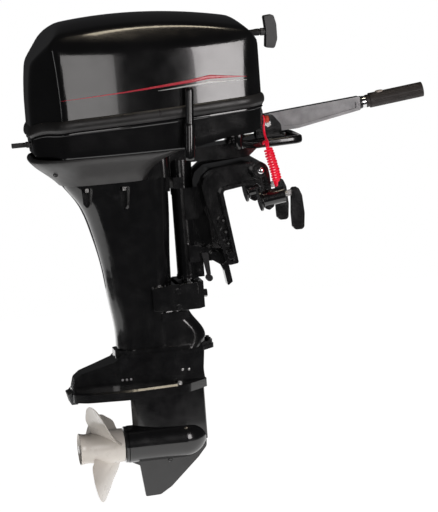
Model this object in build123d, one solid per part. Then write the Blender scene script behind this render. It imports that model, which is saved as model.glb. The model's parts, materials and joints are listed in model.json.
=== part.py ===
from build123d import *
import os
from math import atan, cos, degrees, hypot, pi, radians, sin, sqrt

# Outboard motor, 15 hp class, short shaft. Millimetres.
# X points to the bow, Y to port and Z up. The origin is the top outer corner of the transom seat,
# midway between the two clamp brackets.

# ---- driving dimensions ------------------------------------------------------------------------
RAKE = 8.5                      # lean of the transom face from vertical, degrees
STEER_X = -74                   # steering pivot
CRANK_X = -125                  # crankshaft and drive shaft
TILT_X, TILT_Z = 81, 37         # tilt tube
PROP_Z = -534                   # propeller shaft
PROP_R = 117.5                  # propeller radius, 9 1/4 in diameter
PROP_PITCH = 280
PROP_PHASE = 40                 # turn of the first blade from upright
BLADES = 3

COWL_REAR, COWL_FRONT = -389, 94
COWL_HALF = 146                 # half width of the cowls
COWL_WALL = 4
JOINT_LINE = [(-440, 108), (-372, 152), (-300, 158.4), (130, 177.2)]   # side view of the cowl joint
BAND_H, BAND_OUT = 25, 6        # rubber band round the joint

CLAMP_IN, CLAMP_OUT = 66, 86    # inner and outer faces of a clamp bracket, from the middle
CLAMP_WEB = 8
SEAT_GAP = 73                   # transom opening
SCREW_Y, SCREW_W = 80, -38      # clamp screw: side offset and height in the raked frame
SCREW_R = 6
PAD_R = 24

PIVOT_R = 14                    # steering pivot shaft
TILT_R = 9                      # tilt tube
FIT = 0.05                      # radial clearance of a running fit
GAP = 0.4                       # clearance between pieces that move past each other

ROPE_Y, ROPE_Z = -50, 322       # starter rope line
PULLEY_R = 50
SLOT_HALF = 8                   # slot in the top cowl for the rope guide

CASE_TOP, CASE_FLANGE = 37, -333
PLATE_Z = -424                  # underside of the anti-ventilation plate
TORPEDO_R = 40

SHIFT_X, SHIFT_Z = -72, 126     # shift lever pivot
SHIFT_ROD_X = -156
SWITCH_Y, SWITCH_Z = -66, 140   # stop switch
CHOKE_Y, CHOKE_Z = -5, 148
TILLER_X, TILLER_Y, TILLER_Z = 125, 36, 121   # tiller fold pivot
RECOIL_Z = 318                  # underside of the recoil housing
CYLINDER_Z = (182.5, 242.5)     # the two cylinders
BORE_R = 27

PINION_TEETH, GEAR_TEETH = 13, 27
PINION_R = 11.55
GEAR_R = PINION_R * GEAR_TEETH / PINION_TEETH

parts = {}


# ---- helpers -----------------------------------------------------------------------------------
def block(x0, x1, y0, y1, z0, z1):
    return Pos((x0 + x1) / 2, (y0 + y1) / 2, (z0 + z1) / 2) * Box(x1 - x0, y1 - y0, z1 - z0)


def rod(start, end, radius):
    a, b = Vector(*start), Vector(*end)
    length = (b - a).length
    return Plane(origin=a, z_dir=b - a) * Pos(0, 0, length / 2) * Cylinder(radius, length)


def hex_rod(start, end, across):
    a, b = Vector(*start), Vector(*end)
    return extrude(Plane(origin=a, z_dir=b - a) * RegularPolygon(across / sqrt(3), 6), amount=(b - a).length)


def outline(points, radius):
    radii = radius if isinstance(radius, list) else [radius] * len(points)
    return make_face(FilletPolyline(*points, radius=radii, close=True))


def side_prism(points, y0, y1, radius=0.0):
    """A side view outline, in X and Z, made solid between two values of Y."""
    view = Plane(origin=(0, y1, 0), x_dir=(1, 0, 0), z_dir=(0, -1, 0))
    return extrude(view * outline(points, radius), amount=y1 - y0)


def plan_prism(face, z0, z1):
    return extrude(Pos(0, 0, z0) * face, amount=z1 - z0)


def rounded(x0, x1, half, radius):
    return Pos((x0 + x1) / 2, 0) * RectangleRounded(x1 - x0, 2 * half, min(radius, half - 0.5))


def tapered_loft(sections, inset=0.0):
    """Smooth solid through (z, rear x, front x, half width, rear radius, front radius) sections."""
    faces = []
    for z, x0, x1, half, rear, front in sections:
        xa, xb, y = x0 + inset, x1 - inset, half - inset
        corners = [(xa, -y), (xb, -y), (xb, y), (xa, y)]
        a, b = rear - inset, front - inset
        faces.append(Pos(0, 0, z) * outline(corners, [a, b, b, a]))
    return loft(faces)


def casing_loft(sections, inset=0.0):
    """Smooth solid through (z, rear x, front x, half width, corner radius) sections."""
    faces = [Pos(0, 0, z) * rounded(x0 + inset, x1 - inset, half - inset, radius - inset / 2)
             for z, x0, x1, half, radius in sections]
    return loft(faces)


def clamp_xz(u, w):
    """Raked clamp coordinates: u from the transom face to the bow, w up along the face."""
    a = radians(RAKE)
    return u * cos(a) - w * sin(a), u * sin(a) + w * cos(a)


def clamp_point(u, y, w):
    x, z = clamp_xz(u, w)
    return x, y, z


def above_joint(offset=0.0):
    """Everything above the cowl joint, which dips at the stern."""
    line = [(x, z + offset) for x, z in JOINT_LINE]
    return side_prism([*line, (130, 450), (-440, 450)], -200, 200, [0, 90, 300, 0, 0, 0])


def below_joint(offset=0.0):
    line = [(x, z + offset) for x, z in JOINT_LINE]
    return side_prism([*line, (130, 20), (-440, 20)], -200, 200, [0, 90, 300, 0, 0, 0])


# ---- cowls -------------------------------------------------------------------------------------
def cowl_plan(grow=0.0):
    x0, x1, half = COWL_REAR - grow, COWL_FRONT + grow, COWL_HALF + grow
    port = [(x1, half - 26), (x1 - 120, half), (x0 + 150, half), (x0 + 52, half - 16), (x0, 52 + grow / 2)]
    starboard = [(x, -y) for x, y in reversed(port)]
    return outline(port + starboard, [36 + grow, 90, 120, 60, 60, 60, 60, 120, 90, 36 + grow])


def top_cowl_body(inset=0.0):
    i = inset
    # crowned sections from stern to bow: (x, height on the middle line)
    crown = ((-406, 369), (-293, 386), (-209, 391), (-51, 380), (51, 363), (104, 351))
    faces = []
    for x, top in crown:
        half = [(-COWL_HALF - 3 + i, 100), (-COWL_HALF - 3 + i, 200), (-137 + i, top - 62),
                (-106 + i / 2, top - 17 - i),
                (0, top - i)]
        full = half + [(-y, z) for y, z in reversed(half[:-1])]
        view = Plane(origin=(x, 0, 0), x_dir=(0, 1, 0), z_dir=(1, 0, 0))
        faces.append(view * outline(full, [0, 150, 26, 34, 300, 34, 26, 150, 0]))
    shell = loft(faces, ruled=True)
    side = [(COWL_REAR - 3 + i, 110), (COWL_REAR - 3 + i, 205), (-381 + i, 296 - i / 2),
            (-322 + i / 2, 361 - i), (-240, 410), (40, 410), (66 - i / 2, 351 - i),
            (COWL_FRONT + 3 - i, 314), (COWL_FRONT + 3 - i, 110)]
    plan = plan_prism(cowl_plan(-i), 110, 400)
    return plan & shell & side_prism(side, -160, 160, [0, 200, 14, 16, 0, 0, 14, 14, 0])


def rope_slot(half):
    return block(60, 120, ROPE_Y - half, ROPE_Y + half, 100, ROPE_Z + half)


cowl_outer = top_cowl_body()
cowl_wall = (cowl_outer - top_cowl_body(COWL_WALL)) & above_joint()
parts["top_cowl"] = cowl_wall - rope_slot(SLOT_HALF)

band = plan_prism(cowl_plan(BAND_OUT), 120, 230) - plan_prism(cowl_plan(), 120, 230)
band = band & above_joint() & below_joint(BAND_H)
parts["seal_band"] = band - rope_slot(SLOT_HALF)

# The rope guide fills the slot; an arm holds it to the recoil housing, and a grommet leads the rope.
guide = cowl_wall & rope_slot(SLOT_HALF - GAP)
guide += rod((80, ROPE_Y, ROPE_Z), (108, ROPE_Y, ROPE_Z), SLOT_HALF - GAP)
guide += block(-43, 86, ROPE_Y - 6, ROPE_Y + 6, ROPE_Z - 12, RECOIL_Z)
guide += block(82, 89, ROPE_Y - 6, ROPE_Y + 6, ROPE_Z - 12, ROPE_Z)
parts["rope_guide"] = guide - rod((70, ROPE_Y, ROPE_Z), (110, ROPE_Y, ROPE_Z), 3.4)


def bottom_cowl():
    floor = [(COWL_REAR, 250), (COWL_REAR, 112), (-381, 100), (-50, 103), (18, 119), (74, 120),
             (COWL_FRONT, 132), (COWL_FRONT, 250)]
    outer = plan_prism(cowl_plan(), 80, 230) & side_prism(floor, -160, 160, [0, 10, 8, 60, 60, 8, 6, 0])
    inner_floor = [(COWL_REAR - 9, 251), (COWL_REAR - 9, 105), (-50, 108), (18, 124), (COWL_FRONT + 9, 126),
                   (COWL_FRONT + 9, 251)]
    inner = plan_prism(cowl_plan(-COWL_WALL), 80, 240) & side_prism(inner_floor, -165, 165)
    tray = (outer - inner) & below_joint(-0.3)
    neck_opening = plan_prism(rounded(-298, -92, 66, 20), 80, 140)
    latch_opening = block(-410, -377, -9, 9, 115, 133)
    switch_opening = rod((70, SWITCH_Y, SWITCH_Z), (100, SWITCH_Y, SWITCH_Z), 8.2)
    choke_opening = rod((80, CHOKE_Y, CHOKE_Z), (100, CHOKE_Y, CHOKE_Z), 5.3)
    lever_opening = rod((SHIFT_X, -150, SHIFT_Z), (SHIFT_X, -130, SHIFT_Z), 5.3)
    return tray - neck_opening - latch_opening - switch_opening - choke_opening - lever_opening


parts["bottom_cowl"] = bottom_cowl()

# Cowl latch: a flat lever at the stern, pivoted on a cross pin inside the bottom cowl.
LATCH_X, LATCH_Z = -391, 125.5
latch = block(-424, LATCH_X, -7, 7, 121, 130) + rod((LATCH_X, -7, LATCH_Z), (LATCH_X, 7, LATCH_Z), 6)
parts["cowl_latch"] = latch + block(LATCH_X, -385, -7, 7, 121, 129)


# ---- apron and casings -------------------------------------------------------------------------
APRON = [(99.6, -388, -66, 130, 100, 50), (82, -385, -112, 117, 92, 50), (62, -361, -137, 95, 74, 48),
         (CASE_TOP, -334, -147, 76, 58, 42)]

apron = tapered_loft(APRON) - tapered_loft(APRON, COWL_WALL)
parts["apron"] = apron - block(-172, 0, -58, 58, 20, 110)

UPPER = [(CASE_TOP, -327, -106, 69, 38), (2, -303, -107, 64, 38), (-25, -288, -107, 60, 38),
         (-65, -275, -108, 55, 38), (-105, -265, -110, 51, 38), (-190, -251, -112, 46, 38),
         (-262, -241, -113, 43, 36), (-300, -238, -113, 42, 36), (CASE_FLANGE, -237, -112, 42, 36)]
FOOT = [(-250, -200, -80, 38, 32), (-270, -200, -70, 40, 32), (-282, -200, -61, 40, 32),
        (CASE_FLANGE, -200, -54, 43, 34)]


POCKETS = [(-282.5, -12, 30), (-204, -22, 27)]     # middle, foot and head of each bolt pocket


def pocket_outline(x, z0, z1):
    return [(x - 7, z0), (x + 7, z0), (x + 12, z1), (x - 12, z1)]


def upper_casing():
    body = casing_loft(UPPER) + casing_loft(FOOT)
    body += plan_prism(rounded(-290, -100, 58, 20), CASE_TOP, 132)
    body += plan_prism(rounded(-296, -94, 64, 22), 126, 138)
    lip = [(-245, -24), (-215, -46), (-106, -48), (-60, -34), (-32, -8), (-32, 8), (-60, 34), (-106, 48),
           (-215, 46), (-245, 24)]
    body += plan_prism(outline(lip, 12), CASE_FLANGE, CASE_FLANGE + 8)
    # damper seats at the front of the head
    for side in (-1, 1):
        body += block(-140, -106, side * 36 - 15, side * 36 + 15, 6, 36)
    # seat for the lower dampers and the ledge under the lower mount
    body += block(-135, -108, -40, 40, -244, -194)
    body += block(-142, -84, -45, 45, -270, -252)
    inner = [(z, x0 + 7, x1 - 7, half - 7, radius - 4) for z, x0, x1, half, radius in UPPER]
    inner[0] = (CASE_TOP - 1, -316, -114, 50, 30)
    body -= casing_loft(inner)
    # tall pockets, closed behind, for the bolts up to the powerhead
    for side in (-1, 1):
        for x, z0, z1 in POCKETS:
            back = block(x - 17, x + 17, *sorted((side * 40, side * 57)), z0 - 6, z1 + 6)
            body += back & casing_loft(UPPER)
            body -= side_prism(pocket_outline(x, z0, z1), *sorted((side * 49, side * 75)), [7, 7, 3, 3])
    body -= plan_prism(rounded(-280, -166, 46, 16), CASE_TOP - 2, 139)
    body -= rod((SHIFT_ROD_X, 0, 20), (SHIFT_ROD_X, 0, 139), 4.6)
    body -= rod((CRANK_X, 0, 20), (CRANK_X, 0, 139), 13) + rod((CRANK_X, 0, -300), (CRANK_X, 0, 30), 9)
    return body


upper = upper_casing()


def lower_casing():
    hood = [(-60, -333.4), (-236, -333.4), (-248, -346), (-285, -357), (-320, -367), (-334, -377),
            (-341, -400), (-341, -416), (-54, -416), (-57, -385), (-52, -343)]
    plan = [(-343, -20), (-250, -40), (-110, -44), (-50, -12), (-50, 12), (-110, 44), (-250, 40), (-343, 20)]
    body = side_prism(hood, -60, 60, [0, 0, 8, 20, 12, 8, 4, 0, 0, 60, 6])
    body &= plan_prism(outline(plan, [12, 90, 90, 11, 11, 90, 90, 12]), -420, -330)
    lip = [(-245, -24), (-215, -47), (-106, -50), (-60, -36), (-30, -8), (-30, 8), (-60, 36), (-106, 50),
           (-215, 47), (-245, 24)]
    body += plan_prism(outline(lip, 12), CASE_FLANGE - 9, CASE_FLANGE - 0.2)
    # anti-ventilation plate with turned-down edges
    rim = [(-343, -42), (-315, -62), (-225, -75), (-105, -60), (-51, -12), (-51, 12), (-105, 60), (-225, 75),
           (-315, 62), (-343, 42)]
    plate = plan_prism(outline(rim, [14, 50, 120, 60, 10, 10, 60, 120, 50, 14]), PLATE_Z, PLATE_Z + 21)
    plate = chamfer(plate.faces().sort_by(Axis.Z)[-1].edges(), 4)
    hollow = offset(outline(rim, [14, 50, 120, 60, 10, 10, 60, 120, 50, 14]), -6)
    plate -= plan_prism(hollow, PLATE_Z - 1, PLATE_Z + 12)
    body += plate
    # strut, torpedo and skeg
    strut = [(-217, -3), (-180, -20), (-105, -24), (-57, -7), (-57, 7), (-105, 24), (-180, 20), (-217, 3)]
    body += plan_prism(outline(strut, [2.5, 120, 60, 6.5, 6.5, 60, 120, 2.5]), PROP_Z - 4, PLATE_Z + 14)
    nose = make_face(Polyline((-231, 0), (-231, TORPEDO_R), (-112, TORPEDO_R))
                     + ThreePointArc((-112, TORPEDO_R), (-74, TORPEDO_R * 0.66), (-58, 0))
                     + Line((-58, 0), (-231, 0)))
    turn = Plane(origin=(0, 0, PROP_Z), x_dir=(1, 0, 0), z_dir=(0, -1, 0))
    body += revolve(turn * nose, Axis((0, 0, PROP_Z), (1, 0, 0)), 360)
    skeg = [(-60, -540), (-61, -555), (-80, -577), (-143, -635), (-168, -650), (-200, -651), (-208, -582),
            (-228, -572), (-228, -540)]
    body += side_prism(skeg, -4.5, 4.5, [0, 12, 0, 0, 10, 3, 4, 0, 0])
    # bores: drive shaft, gear room, shift rod and bearing carrier
    body -= rod((CRANK_X, 0, PROP_Z), (CRANK_X, 0, -330), 11)
    body -= rod((CRANK_X, 0, PROP_Z), (CRANK_X, 0, -480), 15)
    body -= rod((CRANK_X, 0, -360), (CRANK_X, 0, -330), 24.5)
    body -= rod((-240, 0, PROP_Z), (-86, 0, PROP_Z), 31)
    body -= rod((-240, 0, PROP_Z), (-165, 0, PROP_Z), 36)
    body -= rod((SHIFT_ROD_X, 0, -499), (SHIFT_ROD_X, 0, -330), 4.6)
    # seat for the anode at the stern end of the plate
    return body - block(-350, -330, -30, 30, PLATE_Z - 2, PLATE_Z + 12)


lower = lower_casing()
# keep the drive shaft and shift rod passages open through the foot of the upper casing
upper -= rod((CRANK_X, 0, -345), (CRANK_X, 0, -250), 24.5)
upper -= rod((SHIFT_ROD_X, 0, -345), (SHIFT_ROD_X, 0, -240), 4.6)
parts["upper_casing"] = upper
parts["lower_casing"] = lower

anode = side_prism([(-352, -408), (-330.5, -400), (-330.5, -424), (-332, -431), (-346, -431)], -26, 26, 2)
# its upper part stands behind the rim of the plate, its lower part runs under it
below_rim = block(-360, -330.3, -26, 26, -440, -412.4)
behind_rim = block(-360, -343.3, -26, 26, -440, -400)
parts["anode"] = anode & (below_rim + behind_rim)


# ---- clamp brackets ----------------------------------------------------------------------------
TRIM_U, TRIM_W, TRIM_R = -14, -135, 5


def clamp_bracket(side):
    points = [(0, -156), (0, 0), (SEAT_GAP, 0), (SEAT_GAP + 7, -10), (SEAT_GAP + 7, -58), (88, -63),
              (100, -57), (101, -20), (104, 8), (104, 30), (86, 42), (32, 47), (-12, 50), (-39, 34), (-39, -20),
              (-24, -156)]
    radii = [4, 6, 6, 6, 5, 6, 4, 6, 10, 15, 12, 80, 24, 22, 80, 8]
    y0, y1 = sorted((side * CLAMP_IN, side * CLAMP_OUT))
    body = side_prism(points, y0, y1, radii)
    # a pocket on the outer side leaves a web with a raised rim
    pocket = Plane(origin=(0, side * CLAMP_OUT, 0), x_dir=(1, 0, 0), z_dir=(0, -1, 0)) * \
        offset(outline(points, radii), -7)
    body -= extrude(pocket, amount=side * (CLAMP_OUT - CLAMP_IN - CLAMP_WEB))
    for w in (-60, -85, -110, TRIM_W):
        body += rod((TRIM_U, side * CLAMP_IN, w), (TRIM_U, side * (CLAMP_IN + 13), w), 9)
    body += rod((79, side * SCREW_Y, SCREW_W), (126, side * SCREW_Y, SCREW_W), 17)
    body += block(80, 100, *sorted((side * CLAMP_IN, side * SCREW_Y)), -55, -21)
    body -= rod((50, side * SCREW_Y, SCREW_W), (140, side * SCREW_Y, SCREW_W), SCREW_R + FIT)
    # only the hole in use goes right through; the others are drawn as blind seats
    for w in (-60, -85, -110):
        body -= rod((TRIM_U, side * (CLAMP_IN + 3), w), (TRIM_U, side * 100, w), TRIM_R + FIT)
    body -= rod((TRIM_U, side * 50, TRIM_W), (TRIM_U, side * 100, TRIM_W), TRIM_R + FIT)
    body = Rot(0, -RAKE, 0) * body
    body += rod((TILT_X, side * CLAMP_IN, TILT_Z), (TILT_X, side * 90, TILT_Z), 17)
    return body - rod((TILT_X, side * 50, TILT_Z), (TILT_X, side * 110, TILT_Z), TILT_R + FIT)


tilt_tube = rod((TILT_X, -96, TILT_Z), (TILT_X, 96, TILT_Z), TILT_R) - \
    rod((TILT_X, -97, TILT_Z), (TILT_X, 97, TILT_Z), 5.5)
nuts = [hex_rod((TILT_X, side * 90.2, TILT_Z), (TILT_X, side * 97, TILT_Z), 26) -
        rod((TILT_X, side * 89, TILT_Z), (TILT_X, side * 98, TILT_Z), TILT_R) for side in (-1, 1)]
parts["tilt_tube"] = Compound([*tilt_tube.solids(), *[solid for nut in nuts for solid in nut.solids()]])

trim_rod = rod(clamp_point(TRIM_U, -91, TRIM_W), clamp_point(TRIM_U, 91, TRIM_W), TRIM_R)
trim_rod += rod(clamp_point(TRIM_U, -95, TRIM_W), clamp_point(TRIM_U, -91, TRIM_W), 8)
parts["trim_rod"] = trim_rod

for side, name in ((-1, "starboard"), (1, "port")):
    y = side * SCREW_Y
    parts[f"clamp_bracket_{name}"] = clamp_bracket(side)
    # swivelling pad, held on the spigot of the screw
    pad = rod((71.5, y, SCREW_W), (75.5, y, SCREW_W), PAD_R) + rod((74, y, SCREW_W), (78, y, SCREW_W), 9)
    pad -= rod((73, y, SCREW_W), (80, y, SCREW_W), 4 + FIT)
    parts[f"clamp_pad_{name}"] = Rot(0, -RAKE, 0) * pad
    screw = rod((73.5, y, SCREW_W), (79, y, SCREW_W), 4) + rod((78.3, y, SCREW_W), (134, y, SCREW_W), SCREW_R)
    screw += block(132, 149, y - 4, y + 4, SCREW_W - 6, SCREW_W + 6)
    screw += rod((149, y - 4, SCREW_W), (149, y + 4, SCREW_W), 6)
    parts[f"clamp_screw_{name}"] = Rot(0, -RAKE, 0) * (
        screw - rod((149, y - 5, SCREW_W), (149, y + 5, SCREW_W), 3 + FIT))
    # handle: two lugs on a pin, running into one flat grip that hangs down
    pin_x, pin_z = clamp_xz(149, SCREW_W)
    grip = [(pin_x - 7, pin_z + 9), (pin_x + 7, pin_z + 9), (pin_x + 14, pin_z - 8), (pin_x + 17, pin_z - 46),
            (pin_x + 14, pin_z - 80), (pin_x - 9, pin_z - 80), (pin_x - 10, pin_z - 46),
            (pin_x - 8, pin_z - 14)]
    handle = side_prism(grip, y - 9, y + 9, [6, 6, 10, 20, 8, 8, 20, 6])
    handle -= rod((pin_x, y - 4.4, pin_z), (pin_x, y + 4.4, pin_z), 15)
    handle -= block(pin_x - 20, pin_x - 2, y - 4.4, y + 4.4, pin_z - 15, pin_z + 12)
    parts[f"clamp_handle_{name}"] = handle + rod((pin_x, y - 9, pin_z), (pin_x, y + 9, pin_z), 3)


# ---- swivel bracket and its levers -------------------------------------------------------------
LOCK_X, LOCK_Z = -22, -138
SHALLOW_X, SHALLOW_Z = -43, -138
trim_x, trim_z = clamp_xz(TRIM_U, TRIM_W)


def swivel_bracket():
    body = rod((STEER_X, 0, -188), (STEER_X, 0, 8), 21.5)
    arch = [(-74, -60), (-74, 8), (-45, 8), (-37, 30), (-18, 45), (78, 53), (84, 21), (12, 13), (-14, 2),
            (-30, -34), (-50, -60)]
    body += side_prism(arch, -36, 36, [0, 0, 6, 12, 14, 4, 4, 30, 20, 20, 0])
    body += rod((TILT_X, -CLAMP_IN + 0.5, TILT_Z), (TILT_X, CLAMP_IN - 0.5, TILT_Z), 16.5)
    block_face = trim_x - TRIM_R - 0.3
    thrust = [(-74, -112), (-44, -120), (block_face - 4, -126), (block_face, -130), (block_face, -146),
              (-20, -150), (-74, -150)]
    body += side_prism(thrust, -45, 45, [0, 8, 3, 2, 3, 8, 0])
    for z0, z1 in ((-188, -180), (-8, 8)):
        body += rod((STEER_X, 0, z0), (STEER_X, 0, z1), 23)
    # web between the pivot tube and the thrust block, run on down as a rib
    web = [(-74, -30), (-34, -34), (-22, -70), (-18, -130), (-40, -148), (-40, -187), (-74, -187)]
    body += side_prism(web, -14, 14)
    body -= rod((STEER_X, 0, -200), (STEER_X, 0, 20), PIVOT_R + FIT)
    body -= rod((TILT_X, -80, TILT_Z), (TILT_X, 80, TILT_Z), TILT_R + FIT)
    for x, z in ((LOCK_X, LOCK_Z), (SHALLOW_X, SHALLOW_Z)):
        body -= rod((x, -46, z), (x, -32, z), 4 + FIT)
    return body


parts["swivel_bracket"] = swivel_bracket()

lock = side_prism([(-31, -130), (-13, -130), (2, -150), (6, -170), (-6, -172), (-12, -158), (-30, -146)],
                  -58, -49, [6, 6, 4, 3, 3, 4, 6])
lock += side_prism([(-8, -158), (4, -152), (11, -196), (0, -204)], -64, -40, 2)
lock += rod((LOCK_X, -58, LOCK_Z), (LOCK_X, -33, LOCK_Z), 4)
parts["tilt_lock_lever"] = lock

shallow = side_prism([(-50, -130), (-36, -130), (-33, -178), (-41, -180)], -55, -49.5, 3)
shallow += rod((-37.5, -62, -184), (-37.5, -47, -184), 7)
shallow += rod((SHALLOW_X, -55, SHALLOW_Z), (SHALLOW_X, -33, SHALLOW_Z), 4)
parts["shallow_drive_lever"] = shallow


# ---- steering bracket, mounts and tiller -------------------------------------------------------
def steering_bracket():
    body = rod((STEER_X, 0, -247), (STEER_X, 0, 30), PIVOT_R)
    body += rod((STEER_X, 0, 8.4), (STEER_X, 0, 66), 25)
    body += block(-98, -77, -52, 52, 10, 34)
    arm = [(-98, 58.5), (72, 58.5), (100, 82), (158, 88), (158, 96), (96, 96), (60, 92), (-98, 84)]
    body += side_prism(arm, -16, 51.5, [10, 20, 20, 4, 4, 10, 30, 10])
    cheek = [(100, 90), (156, 90), (154, 118), (136, 140), (114, 140), (100, 122)]
    for y0, y1 in ((19, 24.6), (47.4, 51.5)):
        body += side_prism(cheek, y0, y1, [2, 8, 14, 12, 12, 10])
    body -= rod((TILLER_X, 10, TILLER_Z), (TILLER_X, 60, TILLER_Z), 5 + FIT)
    return body


parts["steering_bracket"] = steering_bracket()

mount = block(-100, -48, -54, 54, -248, -192)
for side in (-1, 1):
    mount += side_prism([(-160, -195), (-98, -192), (-98, -248), (-160, -245)],
                        *sorted((side * 47.5, side * 54)), 6)
mount = chamfer(mount.edges().filter_by(Axis.Z).sort_by(Axis.X)[-2:], 14)
mount -= rod((STEER_X, 0, -260), (STEER_X, 0, -189), PIVOT_R)
parts["lower_mount_bracket"] = mount

dampers = [rod((-106, y, 22), (-98, y, 22), 12) for y in (-36, 36)]
dampers += [rod((-108, y, -220), (-100, y, -220), 14) for y in (-25, 25)]
parts["mount_dampers"] = Compound([solid for damper in dampers for solid in damper.solids()])


def motor_bolts():
    bolts = [hex_rod((TILLER_X, 14.5, TILLER_Z), (TILLER_X, 19, TILLER_Z), 13) +
             rod((TILLER_X, 16, TILLER_Z), (TILLER_X, 56, TILLER_Z), 5) +
             hex_rod((TILLER_X, 51.5, TILLER_Z), (TILLER_X, 56, TILLER_Z), 13)]
    for side in (-1, 1):
        for x, _, top in POCKETS:
            bolts.append(hex_rod((x, side * 58, top - 8), (x, side * 58, top), 13))
        for z in (-206, -240):
            bolts.append(hex_rod((-105, side * 54, z), (-105, side * 59, z), 10))
        bolts.append(hex_rod((-48, side * 28, -220), (-40, side * 28, -220), 15))
        bolts.append(hex_rod((-41, side * 10, CASE_FLANGE + 8), (-41, side * 10, CASE_FLANGE + 14), 9))
    return Compound([solid for bolt in bolts for solid in bolt.solids()])


parts["motor_bolts"] = motor_bolts()

TILLER_ANGLE = 6.8
tiller = side_prism([(106, 106), (116, 101), (191, 104), (331, 131), (331, 160), (137, 142), (110, 139)],
                    25, 47, [10, 8, 40, 3, 3, 60, 12])
tiller -= side_prism([(160, 112), (200, 112), (322, 136), (322, 150), (160, 134)], 20, 29, 4)
tiller_dir = Vector(cos(radians(TILLER_ANGLE)), 0, sin(radians(TILLER_ANGLE)))
grip_start = Vector(326, TILLER_Y, 145)


def along_grip(distance):
    return grip_start + tiller_dir * distance


tiller += rod(along_grip(0), along_grip(20), 12)
tiller += rod(along_grip(0), along_grip(60), 8)
parts["tiller_arm"] = tiller - rod((TILLER_X, 10, TILLER_Z), (TILLER_X, 60, TILLER_Z), 5 + FIT)

grip = rod(along_grip(20.5), along_grip(28), 13.5) + rod(along_grip(28), along_grip(146), 16)
for turn in range(24):
    angle = 2 * pi * turn / 24
    across = Vector(0, cos(angle), 0) + Vector(-tiller_dir.Z, 0, tiller_dir.X) * sin(angle)
    grip -= rod(along_grip(36) + across * 16.6, along_grip(138) + across * 16.6, 1.2)
parts["throttle_grip"] = grip - rod(along_grip(19), along_grip(62), 8 + FIT)

HANDLE_R = 7.5
route = FilletPolyline((50, -60, 92), (84, -60, 88), (178, -57, 91), (178, 61, 91), (84, 61, 88), (50, 61, 92),
                       radius=[30, 16, 16, 30])
start_plane = Plane(origin=route @ 0, z_dir=route % 0)
handle = sweep(start_plane * Circle(HANDLE_R), path=route)
for y in (-60, 61):
    handle += rod((46, y, 82), (46, y, 118.5), 9)
parts["carrying_handle"] = handle


# ---- powerhead ---------------------------------------------------------------------------------
CHAMBERS = ((163, 202), (223, 262))


def powerhead_half(x0, x1, half):
    body = block(x0, x1, -half, half, 138.2, 288)
    for z0, z1 in CHAMBERS:
        body -= rod((CRANK_X, 0, z0), (CRANK_X, 0, z1), 32)
    return body - rod((CRANK_X, 0, 130), (CRANK_X, 0, 300), 12.5 + FIT)


def cylinder_block():
    body = powerhead_half(-262, CRANK_X, 44)
    body += block(-252, -178, -58, -44, 150, 276) + block(-240, -170, 44, 54, 160, 266)
    for z in CYLINDER_Z:
        body -= rod((-263, 0, z), (-150, 0, z), BORE_R)
        body -= rod((-215, -60, z), (-215, -20, z), 11)
    return body - block(-246, -184, -62, -54, 156, 270)


parts["cylinder_block"] = cylinder_block()
cover = powerhead_half(CRANK_X, -82, 44) + block(-84, -24, -9, 9, 270, 288)
cover += block(-84, -76, -26, 26, 184, 246)
parts["crankcase_cover"] = cover - block(-110, -70, -14, 14, 196, 232)

head = block(-290, -262, -44, 44, 150, 280)
head = fillet(head.edges().filter_by(Axis.Z), 10)
for z in CYLINDER_Z:
    head -= rod((-275, 0, z), (-261, 0, z), 24)
    head -= rod((-291, 0, z), (-270, 0, z), 7)
for y in (-34, 34):
    for z in (160, 212.5, 270):
        head += hex_rod((-296, y, z), (-290, y, z), 12)
parts["cylinder_head"] = head

plugs = []
for z in CYLINDER_Z:
    plug = rod((-280, 0, z), (-290, 0, z), 7) + hex_rod((-290, 0, z), (-298, 0, z), 20)
    plug += rod((-298, 0, z), (-318, 0, z), 6) + rod((-306, 0, z), (-332, 0, z), 9)
    plugs += plug.solids()
parts["spark_plugs"] = Compound(plugs)

carburettor = rod((-76, 0, 215), (-10, 0, 215), 20) + block(-58, -22, -22, 22, 176, 206)
carburettor += rod((-40, 0, 172), (-40, 0, 200), 16) + block(-10, 26, -34, 34, 182, 252)
parts["carburettor"] = carburettor - rod((-77, 0, 215), (20, 0, 215), 12)


def crankshaft():
    body = rod((CRANK_X, 0, 141), (CRANK_X, 0, 314), 12.5)
    for (z0, z1), throw in zip(CHAMBERS, (20, -20)):
        body -= rod((CRANK_X, 0, z0 + 9), (CRANK_X, 0, z1 - 9), 13)
        for z in (z0 + 1, z1 - 10):
            body += rod((CRANK_X, 0, z), (CRANK_X, 0, z + 9), 30)
        body += rod((CRANK_X + throw, 0, z0 + 8), (CRANK_X + throw, 0, z1 - 8), 8)
    return body


parts["crankshaft"] = crankshaft()
wheel = rod((CRANK_X, 0, 292), (CRANK_X, 0, 310), 86) - rod((CRANK_X, 0, 291), (CRANK_X, 0, 303), 76)
wheel += rod((CRANK_X, 0, 290), (CRANK_X, 0, 310), 22)
for turn in range(6):
    hole = Rot(0, 0, 60 * turn) * Pos(50, 0, 300) * Cylinder(12, 30)
    wheel -= Pos(CRANK_X, 0, 0) * hole
parts["flywheel"] = wheel - rod((CRANK_X, 0, 280), (CRANK_X, 0, 320), 12.5)

pulley = rod((CRANK_X, 0, 316), (CRANK_X, 0, 328), PULLEY_R)
pulley -= rod((CRANK_X, 0, 315), (CRANK_X, 0, 329), 8 + FIT)
groove = rod((CRANK_X, 0, 319), (CRANK_X, 0, 325), PULLEY_R + 1) - \
    rod((CRANK_X, 0, 318), (CRANK_X, 0, 326), PULLEY_R - 3)
parts["recoil_pulley"] = pulley - groove

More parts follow.
